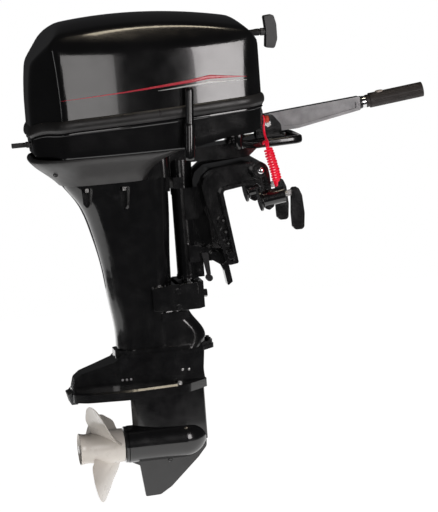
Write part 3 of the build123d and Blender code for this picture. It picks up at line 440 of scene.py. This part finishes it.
def helix(points, run, s0, s1):
    """Turns of the coil between two distances along the route, a little uneven in width."""
    turns = (s1 - s0) / HELIX_PITCH
    steps = int(turns * TURN_POINTS)
    upright = Vector((0, 0, 1))
    start = (along(points, run, s0 + LOOK_AHEAD) - along(points, run, s0)).normalized()
    side = (upright - start * upright.dot(start)).normalized()
    line = []
    for k in range(steps + 1):
        s = s0 + (s1 - s0) * k / steps
        tangent = along(points, run, s + LOOK_AHEAD) - along(points, run, s - LOOK_AHEAD)
        tangent.normalize()
        side = (side - tangent * side.dot(tangent)).normalized()
        other = tangent.cross(side)
        grow = min(1, k / TURN_POINTS, (steps - k) / TURN_POINTS)
        angle = 2 * pi * turns * k / steps
        uneven = 1 - HELIX_SHRINK * (0.5 + 0.5 * sin(s * HELIX_WAVE + 1.3))
        out = side * cos(angle) + other * sin(angle)
        line.append(along(points, run, s) + out * HELIX_R * grow * uneven)
    return line


def strand(points, run, s, end):
    """Evenly spaced points of a straight strand, from distance s up to an end."""
    line = []
    while s < end:
        line.append(along(points, run, s))
        s += STRAIGHT_STEP
    return line


def lanyard():
    """One cord from the clip, through the coil and back up to the carrying handle."""
    points, run = route_points(LEAD + COIL + RETURN)
    ends = [min(range(len(points)), key=lambda k: (points[k] - Vector(end)).length)
            for end in (LEAD[-1], COIL[-1])]
    s0, s1 = run[ends[0]] - 0.002, run[ends[1]] + 0.001
    line = strand(points, run, 0.0, s0) + helix(points, run, s0, s1)
    line += strand(points, run, s1 + STRAIGHT_STEP, run[-1]) + [points[-1]]
    cord = nurbs("lanyard", line, CORD_R)
    # the cord's material carries a painted glow
    cord.data.materials.append(GLOWING_CORD_RED)
    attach(cord, "motor")
    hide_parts("lanyard_lead", "lanyard_coil")
    # the clip shares the cord's painted glow
    clip = soften("lanyard_clip", GLOWING_CORD_RED, 0.6)


lanyard()


# ---- cowl surface --------------------------------------------------------------------------------
# The cowl is the rounded meeting of a few gently curved walls. Millimetres.
COWL_REAR, COWL_FRONT, COWL_HALF = -387, 94, 146
CENTRE_X, CENTRE_Z = -147, 200
BULGE = 4.4e-4            # how fast the sides curve in from the middle
CROWN = np.polyfit([-406, -293, -209, -51, 51, 104], [356, 375, 383, 375, 359, 347], 3)
CROWN_HALF, CROWN_DROP = 106, 17    # half width of the crown and its drop there
ROUNDING = 0.42           # a larger number gives sharper corners


def joint_line(x):
    """Height of the cowl joint, which dips at the stern."""
    rise = 158.4 + 0.0437 * (x + 300) + 0.0452 * np.minimum(x + 300, 0)
    dip = 152 + 0.647 * (x + 372)
    blend = np.clip(0.5 + (rise - dip) / 28, 0, 1)
    return rise + (dip - rise) * blend - 7 * blend * (1 - blend)


def cowl_walls(x, y, z):
    """Distance outside each wall; a corner, slope or shoulder is a plane with a normal and a place."""
    y = np.abs(y)
    top = np.polyval(CROWN, x)
    side = y - COWL_HALF + BULGE * (x - CENTRE_X) ** 2 + 9 * (np.maximum(z - 170, 0) / 150) ** 2
    rear = COWL_REAR - x + 8 * (np.maximum(z - 205, 0) / 91) ** 2
    front = x - COWL_FRONT
    rear_corner = -0.832 * x + 0.555 * y - 348
    front_corner = 0.7071 * (x + y) - 136.4
    rear_slope = (-65 * (x + 381) + 59 * (z - 296)) / 87.8
    front_slope = (37 * (x - 66) + 31 * (z - 351)) / 48.3 + 4
    crown = z - top + CROWN_DROP * (y / CROWN_HALF) ** 2
    shoulder = (45 * (y - CROWN_HALF) + 31 * (z - top + CROWN_DROP)) / 54.6
    return [side, rear, front, rear_corner, front_corner, rear_slope, front_slope, crown, shoulder]


def cowl_distance(x, y, z):
    """Distance outside the cowl, with the walls' meetings rounded."""
    walls = np.array(cowl_walls(x, y, z))
    peak = walls.max(axis=0)
    return peak + np.log(np.exp(ROUNDING * (walls - peak)).sum(axis=0)) / ROUNDING


def solve(point, level, low=5.0, high=520.0):
    """Distance along each ray at which the cowl surface, moved outwards by level, is met."""
    a = np.full(np.shape(level), low, dtype=float)
    b = np.full(np.shape(level), high, dtype=float)
    for _ in range(44):         # halvings, which leave far less than a micrometre
        r = (a + b) / 2
        inside = cowl_distance(*point(r)) < level
        a = np.where(inside, r, a)
        b = np.where(inside, b, r)
    return (a + b) / 2


AROUND = 264
PHI = np.linspace(0, 2 * pi, AROUND, endpoint=False)


def ring_at(rise, outset):
    """Ring of points round the cowl, rise above the joint line and outset from the cowl surface."""
    z = np.full(AROUND, 170.0)
    for _ in range(8):          # the ring's place and its height depend on each other
        r = solve(lambda t: (CENTRE_X + t * np.cos(PHI), t * np.sin(PHI), z), np.full(AROUND, float(outset)))
        x, y = CENTRE_X + r * np.cos(PHI), r * np.sin(PHI)
        z = joint_line(x) + rise
    return np.stack([x, y, z], axis=1)


def skin(name, rings, cap=None, closed=False):
    """Surface through rings of points, ending in a cap point or closed on itself."""
    verts = [tuple(p) for ring in rings for p in ring]
    n = len(rings[0])
    faces = []
    rows = len(rings) if closed else len(rings) - 1
    for i in range(rows):
        j = (i + 1) % len(rings)
        for k in range(n):
            m = (k + 1) % n
            faces.append((i * n + k, i * n + m, j * n + m, j * n + k))
    if cap is not None:
        middle = len(verts)
        verts.append(cap)
        last = (len(rings) - 1) * n
        faces += [(last + k, last + (k + 1) % n, middle) for k in range(n)]
    obj = mesh_object(name, verts, faces)
    fix_normals(obj)
    return obj


def solidify(obj, thickness, even=False):
    """Gives a surface an inner side, thickness millimetres in."""
    wall = obj.modifiers.new("wall", "SOLIDIFY")
    wall.thickness = thickness * MM
    wall.offset = -1
    wall.use_even_offset = even


def cowl_shell(name):
    """The cowl above its joint line, as a 4 mm shell."""
    base = ring_at(0.3, 0)
    reach = np.hypot(base[:, 0] - CENTRE_X, base[:, 1])
    start = np.arctan2(base[:, 2] - CENTRE_Z, reach)
    rings = [base]
    rows = 60
    for k in range(1, rows):
        tilt = start + (pi / 2 - start) * (k / rows)
        c, s = np.cos(tilt), np.sin(tilt)

        def on_ray(t):
            return CENTRE_X + t * c * np.cos(PHI), t * c * np.sin(PHI), CENTRE_Z + t * s

        rings.append(np.stack(on_ray(solve(on_ray, np.zeros(AROUND))), axis=1))
    rise = solve(lambda t: (np.array([CENTRE_X]), np.array([0.0]), CENTRE_Z + t), np.zeros(1))[0]
    obj = skin(name, rings, cap=(CENTRE_X, 0.0, CENTRE_Z + rise))
    solidify(obj, 4, even=True)
    return obj


ROPE_Y, ROPE_Z = -50, 322
SLOT_HALF, SLOT_GAP = 8, 0.4


def slot_box(name, half, top):
    """Box through the cowl's bow wall, half as wide as stated on each side of the starter rope."""
    return box_object(name, (60, ROPE_Y - half, 100), (130, ROPE_Y + half, top))


def top_cowl():
    """Cowl shell with a slot for the starter rope."""
    shell = cowl_shell("top_cowl_shell")
    boolean(shell, slot_box("slot", SLOT_HALF, ROPE_Z + SLOT_HALF), "DIFFERENCE")
    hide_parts("top_cowl")
    placed(shell, "cowl", GLOSS, 40)


def rope_guide():
    """Plate that fills the cowl's slot, a grommet with a rolled lip, and the arm behind them."""
    guide = cowl_shell("rope_guide_plate")
    edge = SLOT_HALF - SLOT_GAP
    boolean(guide, slot_box("keep", edge, ROPE_Z + edge), "INTERSECT")
    placed(guide, "motor", GLOSS, 40)
    profile = [(-22, 6), (-8, 6.4), (-1, 7.4), (5, 7.5), (6.5, 6.6), (6.8, 5)]
    grommet = lathe("rope_grommet", profile, (101, ROPE_Y, ROPE_Z), (1, 0, 0), 40)
    placed(grommet, "motor", DARK_RUBBER)
    arm = box_object("rope_guide_arm", (-43, ROPE_Y - 6, ROPE_Z - 12), (84, ROPE_Y + 6, ROPE_Z - 4))
    rounded(arm, 1.5, 3)
    placed(arm, "motor", BLACK_PLASTIC)
    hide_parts("rope_guide")


def seal_band():
    """Rubber strip round the cowl; its section, as (outset, rise), is a round back over a narrow foot."""
    section = [(-0.5, 0.4), (1.6, 0.4), (2.2, 1.6), (2.6, 3.2), (4.4, 5.4), (5.5, 8.5),
               (5.95, 12), (5.9, 15.5), (5.2, 19), (3.9, 22), (2.0, 24.2), (-0.5, 24.9)]
    rings = [ring_at(rise, outset) for outset, rise in section]
    band = skin("seal_band_strip", rings, closed=True)
    boolean(band, slot_box("slot", SLOT_HALF, 230), "DIFFERENCE")
    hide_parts("seal_band")
    placed(band, "cowl", BAND, 50)


def floor_line(x):
    """Lower edge of the bottom cowl in the side view."""
    return np.interp(x, [-389, -381, -60, 0, 24, 70, 88, 94], [108, 100.4, 102.5, 114, 118.6, 120, 126, 131])


NECK_X, NECK_Z, NECK_LONG, NECK_WIDE = -195, 102.0, 103, 66   # middle and half sizes of the opening
# the tray's side: share of the way down from the lip to the floor, and outset
TRAY_SIDE = [(0, -0.6), (0.012, 0.9), (0.045, 1.6), (0.085, 1.4), (0.11, -0.4), (0.15, -0.6), (0.4, -1.5),
             (0.7, -2.6), (0.92, -3.4), (0.98, -4.2), (1.0, -6.0)]


def neck_ring(points):
    """The edge of the opening over the casing, straight in from each point."""
    ring = []
    for x, y, _ in points:
        dx = x - NECK_X
        share = 1 / max(abs(dx) / NECK_LONG, abs(y) / NECK_WIDE)
        ring.append((NECK_X + dx * share, y * share, NECK_Z))
    return np.array(ring)


def bottom_cowl():
    """Tray under the cowl, with an outward lip, sides that lean in and a floor with an opening."""
    floor = floor_line(ring_at(-0.4, -0.2)[:, 0])
    rings = []
    for share, outset in TRAY_SIDE:
        ring = ring_at(-0.4, outset - 0.1)
        ring[:, 2] += (floor - ring[:, 2]) * share
        rings.append(ring)
    outer = rings[-1]
    neck = neck_ring(outer)
    for share in (0.12, 0.3, 0.5, 0.75, 1.0):
        mix = outer + (neck - outer) * share
        mix[:, 2] = floor_line(mix[:, 0]) + 0.1
        rings.append(mix)
    rings.reverse()
    tray = skin("bottom_cowl_tray", rings)
    solidify(tray, 3)
    boolean(tray, box_object("latch_gap", (-415, -9, 115), (-377, 9, 133)), "DIFFERENCE")
    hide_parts("bottom_cowl")
    placed(tray, "motor", GLOSS, 45)


top_cowl()
rope_guide()
seal_band()
bottom_cowl()


def stripe(name, side, material, line):
    """A thin decal strip on the cowl side; line gives (x, low z, high z) points."""
    xs = np.linspace(line[0][0], line[-1][0], 90)
    low = np.interp(xs, [p[0] for p in line], [p[1] for p in line])
    high = np.interp(xs, [p[0] for p in line], [p[2] for p in line])
    rows = []
    for share in (0, 0.33, 0.67, 1):
        z = low + (high - low) * share
        y = solve(lambda t: (xs, t, z), np.full(len(xs), 0.16))
        rows.append(np.stack([xs, side * y, z], axis=1))
    verts = [tuple(p) for row in rows for p in row]
    n = len(xs)
    faces = [(i * n + k, i * n + k + 1, (i + 1) * n + k + 1, (i + 1) * n + k)
             for i in range(3) for k in range(n - 1)]
    obj = mesh_object(name, verts, faces)
    if side > 0:
        obj.data.flip_normals()
    solidify(obj, 0.12)
    placed(obj, "cowl", material)


RED_LINE = [(-330, 222, 222.6), (-200, 229, 231.5), (-60, 238, 244), (-20, 242, 250), (60, 239, 239.6)]
WHITE_LINE = [(-130, 227, 227.5), (-60, 230, 233.5), (-20, 232, 238), (60, 232, 232.4)]
for side, label in ((-1, "starboard"), (1, "port")):
    stripe(f"stripe_red_{label}", side, RED, RED_LINE)
    stripe(f"stripe_white_{label}", side, WHITE, WHITE_LINE)


# ---- castings and hardware -----------------------------------------------------------------------
ROUNDED = [     # material, width of the rounding, nodes
    (CAST, 1.6, ["upper_casing", "lower_casing", "swivel_bracket",
                 "clamp_bracket_starboard", "clamp_bracket_port"]),
    (APRON_BLACK, 1.2, ["apron"]),
    (CAST, 1.2, ["lower_mount_bracket", "steering_bracket", "tilt_lock_lever", "bearing_carrier"]),
    (CAST, 1.4, ["clamp_handle_starboard", "clamp_handle_port"]),
    (SHEEN_PAINTED_GREY, 1.3, ["tiller_arm"]),
    (GRIP, 0.5, ["throttle_grip"]),
    (GREY_PLASTIC, 2.2, ["recoil_handle"]),
    (BLACK_PLASTIC, 0.6, ["shallow_drive_lever", "stop_switch", "choke_knob", "cowl_latch",
                          "fuel_connector"]),
    (RED_PLASTIC, 0.8, ["stop_button"]),
    (STAINLESS, 0.5, ["motor_bolts", "propeller_nut"]),
    (CAST, 0.5, ["tilt_tube"]),
    (CAST, 0.8, ["clamp_pad_starboard", "clamp_pad_port"]),
    (STEEL, 0.5, ["clamp_screw_starboard", "clamp_screw_port"]),
    (CAST, 0.5, ["trim_rod"]),
    (ZINC, 1.5, ["anode"]),
]
finished = {node: soften(node, material, width) for material, width, nodes in ROUNDED for node in nodes}


def repaint(node, material, chosen):
    """Gives the chosen faces of a finished piece a second material."""
    mesh = finished[node].data
    mesh.materials.append(material)
    for face in mesh.polygons:
        if chosen(face):
            face.material_index = 1


repaint("motor_bolts", CAST, lambda face: face.center.z < -150 * MM)
# painted reflection: the tiller arm's flat sides keep the grey painted sheen, while its top, bottom and ends
# take the black cast paint
repaint("tiller_arm", CAST, lambda face: abs(face.normal.y) < 0.8)
bpy.context.view_layer.update()
trees = {}


def near_face(node, x, z):
    """Starboard face of a finished piece at a place in the side view, in millimetres."""
    if node not in trees:
        scene_now = bpy.context.evaluated_depsgraph_get()
        trees[node] = BVHTree.FromObject(finished[node].evaluated_get(scene_now), scene_now)
    hit = trees[node].ray_cast(Vector((x, -400, z)) * MM, Vector((0, 1, 0)))[0]
    return hit.y / MM


def fitting(name, node, x, z, profile, material):
    """A turned piece on the starboard face of a node; the profile is (height off the face, radius)."""
    y = near_face(node, x, z)
    obj = lathe(name, [(-1.5, profile[0][1])] + profile, (x, y, z), (0, -1, 0), 28)
    placed(obj, body_of(node), material, 40)


SCREW = [(0, 5.4), (1.0, 5.2), (1.2, 3.6), (2.6, 3.4), (3.0, 2.6), (2.2, 1.6)]
DOT = [(0, 2.6), (0.8, 2.2), (1.1, 1.2)]
BUTTON = [(0, 5.2), (1.6, 5.0), (2.2, 3.8), (1.6, 2.6)]
INLET = [(0, 2.6), (0.5, 2.4), (0.6, 1.0)]
CAP = [(-4, 7.6), (1.5, 7.4), (3.4, 5.8), (4.2, 3.2), (4.4, 1)]
TILT_X, TILT_Z = 81, 37


def tilt_cap():
    """Bright domed cap in the starboard end of the tilt tube."""
    tube_end = min(corner[1] for corner in bpy.data.objects["tilt_tube"].bound_box) / MM
    cap = lathe("tilt_cap", CAP, (TILT_X, tube_end, TILT_Z), (0, -1, 0), 32)
    placed(cap, body_of("tilt_tube"), CHROME, 40)


fitting("anode_screw", "lower_casing", -117, -403, SCREW, STAINLESS)
fitting("plug_a", "lower_casing", -106.5, -377, DOT, STAINLESS)
fitting("plug_b", "lower_casing", -92, -379, DOT, STAINLESS)
fitting("drain_screw", "lower_casing", -142, -578, BUTTON, CAST)
fitting("apron_plug", "apron", -346, 66, BUTTON, BLACK_PLASTIC)
tilt_cap()
for k in range(3):
    fitting(f"water_inlet_{k}", "lower_casing", -236 + 9 * k, -386, INLET, SHEEN_PAINTED_GREY)


# ---- pieces kept as they are in the CAD ----------------------------------------------------------
INNER = [
    (ALLOY, ["cylinder_block", "cylinder_head", "crankcase_cover", "carburettor", "water_pump_housing"]),
    (IRON, ["flywheel"]),
    (STEEL, ["crankshaft", "pinion_gear", "forward_gear", "reverse_gear", "dog_clutch"]),
    (STAINLESS, ["drive_shaft", "shift_rod", "propeller_shaft"]),
    (BLACK_PLASTIC, ["recoil_housing", "recoil_pulley"]),
    (DARK_RUBBER, ["mount_dampers", "water_impeller"]),
    (PORCELAIN, ["spark_plugs"]),
    (ROPE, ["starter_rope"]),
]
for material, nodes in INNER:
    for node in nodes:
        obj = bpy.data.objects[node]
        if not obj.material_slots:
            obj.data.materials.append(material)
        for place in obj.material_slots:
            place.link = "OBJECT"
            place.material = material


# ---- carrying handle -----------------------------------------------------------------------------
BAR_ROUTE = [(50, -60, 92), (84, -60, 88.5), (150, -58, 90), (168, -57, 90.6), (175, -54, 91),
             (178, -46, 91), (178.5, 0, 91), (178, 50, 91), (175, 58, 91), (168, 61, 90.6),
             (150, 61, 90), (84, 61, 88.5), (50, 61, 92)]
BAR_ACROSS, BAR_UP, BAR_SQUARE = 6.2, 8.6, -0.35    # half sizes of the bar and how square its oval is
BAR_SIDES = 24
POST = [(0, 7.5), (1.2, 8.8), (35, 9), (36.4, 8.6)]


def carrying_handle():
    """Flat oval bar bent round the bow side of the bottom cowl, on two posts."""
    angles = [2 * pi * (k + 0.5) / BAR_SIDES for k in range(BAR_SIDES)]
    section = [(cos(a) * BAR_ACROSS * abs(cos(a)) ** BAR_SQUARE, sin(a) * BAR_UP * abs(sin(a)) ** BAR_SQUARE)
               for a in angles]
    points = [Vector(p) for p in BAR_ROUTE]
    verts = []
    for i, here in enumerate(points):
        ahead = (points[min(i + 1, len(points) - 1)] - points[max(i - 1, 0)]).normalized()
        across = Vector((-ahead.y, ahead.x, 0)).normalized()
        up = ahead.cross(across)
        verts += [here + across * a + up * b for a, b in section]
    n = len(section)
    faces = [(i * n + k, i * n + (k + 1) % n, (i + 1) * n + (k + 1) % n, (i + 1) * n + k)
             for i in range(len(points) - 1) for k in range(n)]
    faces += [tuple(range(n)), tuple(range((len(points) - 1) * n, len(points) * n))]
    bar = mesh_object("carrying_bar", verts, faces)
    fix_normals(bar)
    placed(bar, "motor", GLOSS, 50)
    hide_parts("carrying_handle")
    for side, y in (("starboard", -60), ("port", 61)):
        post = lathe(f"carrying_post_{side}", POST, (46, y, 82), (0, 0, 1), 36)
        placed(post, "motor", GLOSS, 50)


carrying_handle()


# ---- tiller fittings -----------------------------------------------------------------------------
TILLER_LEAN = Vector((cos(radians(6.8)), 0, sin(radians(6.8))))
TILLER_UP = Vector((-TILLER_LEAN.z, 0, TILLER_LEAN.x))
TILLER_START = Vector((326, 36, 145))       # place on the grip's axis, near the arm's end
END_RING = [(0, 12.4), (0.6, 13.6), (4.4, 13.6), (5, 12.4)]
COLLAR = [(0, 12), (0.6, 12.8), (5, 12.8), (5.6, 12.1), (8, 12.1), (8.6, 12.8), (9.4, 12)]
KNOB = [(0, 6), (1.5, 9), (3.4, 9), (4.8, 7.5), (5.4, 4)]


def tiller_fittings():
    """Black ring at the end of the arm, bright collar beside it and the friction knob on the grip."""
    ring = lathe("tiller_ring", END_RING, TILLER_START + TILLER_LEAN * 5, TILLER_LEAN, 40)
    placed(ring, "tiller", BLACK_PLASTIC, 45)
    collar = lathe("throttle_collar", COLLAR, TILLER_START + TILLER_LEAN * 10.2, TILLER_LEAN, 40)
    placed(collar, "tiller", CHROME, 45)
    knob_foot = TILLER_START + TILLER_LEAN * 52 + TILLER_UP * 12.5
    knob = lathe("friction_knob", KNOB, knob_foot, TILLER_UP, 32)
    placed(knob, "grip", PALE_PLASTIC, 45)


tiller_fittings()


# ---- shift lever ---------------------------------------------------------------------------------
SHIFT_X, SHIFT_Z = -72, 126
LEVER_X, LEVER_Y = SHIFT_X - 2.5, -161
LEVER_FLAT = 0.28       # how much longer the arm's oval section is than wide
LEVER = [(-46, 5), (-44, 7.6), (-36, 8.4), (-20, 8.4), (0, 8.4), (18, 8.4), (26, 8.2), (29, 7.4),
         (31, 6.8), (40, 6.6), (70, 6.4), (95, 6.8), (100, 6.4), (104, 4.8), (105.6, 2)]
LEVER_SHAFT = [(0, 5.0), (10, 5.0), (20, 5.0), (30, 5.0), (32, 4.0)]
LEVER_BOSS = [(-6, 7), (-4, 10), (0, 11), (3, 10.4), (5, 8)]


def shift_lever():
    """Moulded lever with a thick lower part and a slim arm with a domed end, on a cross shaft with a boss."""
    arm = lathe("shift_lever_arm", LEVER, (LEVER_X, LEVER_Y, SHIFT_Z), Vector((8, 0, 150)).normalized(), 40)
    for vertex in arm.data.vertices:
        vertex.co.x += LEVER_FLAT * (vertex.co.x - LEVER_X * MM)
    placed(arm, "shift", GLOSS, 60)
    shaft = lathe("shift_lever_shaft", LEVER_SHAFT, (SHIFT_X, -158, SHIFT_Z), (0, 1, 0), 32)
    placed(shaft, "shift", STAINLESS, 40)
    boss = lathe("shift_lever_boss", LEVER_BOSS, (SHIFT_X, -152, SHIFT_Z), (0, 1, 0), 36)
    placed(boss, "shift", BLACK_PLASTIC, 50)
    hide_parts("shift_lever")


shift_lever()


# ---- propeller -----------------------------------------------------------------------------------
PROP_Z, PROP_R, PROP_PITCH, PROP_PHASE = -534, 117.5, 280, 40
HUB_FRONT, HUB_STOP = -239.5, -316
# a blade's radius, chord, thickness and place of its middle along the shaft, as in the CAD
STATIONS = [(24, 80, 10, -284), (45, 104, 8, -286), (70, 112, 6, -290), (95, 92, 4.2, -295),
            (110, 56, 3.0, -298), (PROP_R, 16, 2.4, -299)]
BLADE_RADII = np.array([29, 34, 40, 48, 58, 68, 78, 88, 96, 103, 108, 112, 114.5, 116.2, 117.0])
TIP_FROM, TIP_CHORD, TIP_MIDDLE, TIP_LONG = 86, 112, 74, 43.4   # ellipse that the blade follows further out
ROOT_TO, ROOT_SHARE = 50, 0.86      # the blade is narrower than its stations further in
HUB = [(0, 30), (0.4, 34.5), (1.4, 35.8), (12, 36.1), (28, 36.2), (52, 34.2), (74, 31.9), (84, 31.6),
       (91, 33.2), (94.6, 34.3), (95.4, 33.6), (95.2, 32.2), (90, 30), (80, 28), (60, 28.5), (28, 29.5),
       (2, 29)]
CORE = [(0, 15), (0.8, 17), (74, 17), (76, 16), (76.4, 10)]


def propeller_blade(name, turn):
    """Blade of aerofoil sections on a helix, with a rounded tip."""
    table = np.array(STATIONS)
    chords = np.interp(BLADE_RADII, table[:, 0], table[:, 1])
    outer = BLADE_RADII > TIP_FROM
    ellipse = 1 - ((BLADE_RADII[outer] - TIP_MIDDLE) / TIP_LONG) ** 2
    chords[outer] = TIP_CHORD * np.sqrt(np.maximum(0.02, ellipse))
    chords[BLADE_RADII < ROOT_TO] *= ROOT_SHARE
    thick = np.interp(BLADE_RADII, table[:, 0], table[:, 2]) * 0.95
    middle = np.interp(BLADE_RADII, table[:, 0], table[:, 3])
    middle = middle + np.interp(BLADE_RADII, [29, 78, 117], [9, 1, 0])
    count = 28
    rings = []
    for r, chord, t, x0 in zip(BLADE_RADII, chords, thick, middle):
        pitch = np.arctan(PROP_PITCH / (2 * pi * r))
        ring = []
        for k in range(count):
            a = 2 * pi * k / count
            u = cos(a) * chord / 2
            v = sin(a) * t / 2 * (abs(sin(a)) ** 0.25)
            # the chord is wrapped round the axis, so the section lies on its own cylinder
            x = x0 + u * np.sin(pitch) + v * np.cos(pitch)
            around = (-u * np.cos(pitch) + v * np.sin(pitch)) / r * 0.96
            y, z = r * sin(around), r * cos(around)
            c, s = cos(turn), sin(turn)
            ring.append((x, y * c - z * s, PROP_Z + y * s + z * c))
        rings.append(ring)
    verts = [p for ring in rings for p in ring]
    faces = []
    for i in range(len(rings) - 1):
        for k in range(count):
            m = (k + 1) % count
            faces.append((i * count + k, i * count + m, (i + 1) * count + m, (i + 1) * count + k))
    faces.append(tuple(range(count)))
    faces.append(tuple(range((len(rings) - 1) * count, len(rings) * count)))
    blade = mesh_object(name, verts, faces)
    fix_normals(blade)
    smooth = blade.modifiers.new("smooth", "SUBSURF")
    smooth.levels = smooth.render_levels = 1
    return blade


def propeller():
    """Hub with a flared rear end, a core joined to it by three ribs, and three blades."""
    hub = lathe("propeller_hub", HUB, (HUB_FRONT, 0, PROP_Z), (-1, 0, 0), 96)
    placed(hub, "prop", IVORY, 45)
    core = lathe("propeller_core", CORE, (HUB_FRONT, 0, PROP_Z), (-1, 0, 0), 48)
    placed(core, "prop", IVORY, 45)
    for k in range(3):
        turn = radians(PROP_PHASE + 120 * k)
        blade = propeller_blade(f"propeller_blade_{k + 1}", turn)
        placed(blade, "prop", IVORY, 60)
        rib = box_object(f"propeller_rib_{k + 1}", (HUB_STOP + 1, -2.4, 16), (HUB_FRONT - 9, 2.4, 29))
        spoke = Matrix.Rotation(turn + radians(60), 4, "X")
        rib.data.transform(Matrix.Translation((0, 0, PROP_Z * MM)) @ spoke)
        rounded(rib, 1.2, 2)
        placed(rib, "prop", IVORY, 45)
    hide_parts("propeller")


propeller()


# ---- floor, light and finish ---------------------------------------------------------------------
FLOOR_Z = -0.70
FLOOR = [(-1.0, -0.8), (0.35, -0.8), (1.5, 0.1), (1.5, 2.6), (-1.6, 2.6), (-1.6, -0.3)]


def floor():
    """Pale ground under the motor, bright enough to vanish in the background."""
    mesh = bpy.data.meshes.new("floor")
    mesh.from_pydata([(x, y, FLOOR_Z) for x, y in FLOOR], [], [tuple(range(len(FLOOR)))])
    obj = bpy.data.objects.new("floor", mesh)
    scene.collection.objects.link(obj)
    m, tree, shader = new_material("floor_pale", (0.9, 0.9, 0.9), 0.8, specular=0.1)
    tone = ramp(tree, noise(tree, 3, 3), 0.3, 0.7, (0.88, 0.88, 0.88), (0.92, 0.92, 0.92))
    tree.links.new(tone, shader.inputs["Base Color"])
    shader.inputs["Emission Color"].default_value = (1, 1, 1, 1)
    shader.inputs["Emission Strength"].default_value = 0.95
    mesh.materials.append(m)


def panel(name, at, target, width, height, radiance, colour=(1, 1, 1)):
    """Rectangular softbox of a given brightness, facing the target."""
    data = bpy.data.lights.new(name, "AREA")
    data.shape = "RECTANGLE"
    data.size, data.size_y = width, height
    data.energy = radiance * pi * width * height
    data.color = colour
    obj = bpy.data.objects.new(name, data)
    aim = (Vector(target) - Vector(at)).normalized()
    obj.matrix_world = Matrix.Translation(at) @ aim.to_track_quat("-Z", "Y").to_matrix().to_4x4()
    obj.visible_camera = False
    scene.collection.objects.link(obj)


def around_motor(angle, distance, height):
    """Place seen from the motor at an angle from starboard towards the bow, in degrees."""
    return (-0.147 + distance * sin(radians(angle)), -distance * cos(radians(angle)), height)


def lights():
    """Two softboxes that the cowl's side mirrors, one above, one astern, and a white background."""
    left, right = around_motor(-8.3, 3.0, 0.31), around_motor(27.9, 3.0, 0.42)
    panel("soft_left", left, (-0.147, 0, 0.31), 0.87, 1.18, 2.6, (1, 0.97, 0.96))
    panel("soft_right", right, (-0.147, 0, 0.42), 0.79, 1.4, 7.5, (1, 0.96, 0.96))
    panel("top", (0.45, -0.9, 3.0), (0, 0, 0), 1.3, 0.26, 9, (1, 0.88, 0.68))
    panel("stern", (-3.0, -1.6, 0.4), (-0.147, 0, 0), 0.3, 1.0, 2)
    world = bpy.data.worlds.new("world")
    scene.world = world
    world.use_nodes = True
    tree = world.node_tree
    tree.nodes.clear()
    seen = tree.nodes.new("ShaderNodeLightPath")
    dim, bright = tree.nodes.new("ShaderNodeBackground"), tree.nodes.new("ShaderNodeBackground")
    dim.inputs["Color"].default_value = (0.03, 0.03, 0.031, 1)
    bright.inputs["Color"].default_value = (1, 1, 1, 1)
    mix = tree.nodes.new("ShaderNodeMixShader")
    out = tree.nodes.new("ShaderNodeOutputWorld")
    tree.links.new(seen.outputs["Is Camera Ray"], mix.inputs["Fac"])
    tree.links.new(dim.outputs["Background"], mix.inputs[1])
    tree.links.new(bright.outputs["Background"], mix.inputs[2])
    tree.links.new(mix.outputs["Shader"], out.inputs["Surface"])


floor()
lights()
scene.view_settings.view_transform = "Standard"
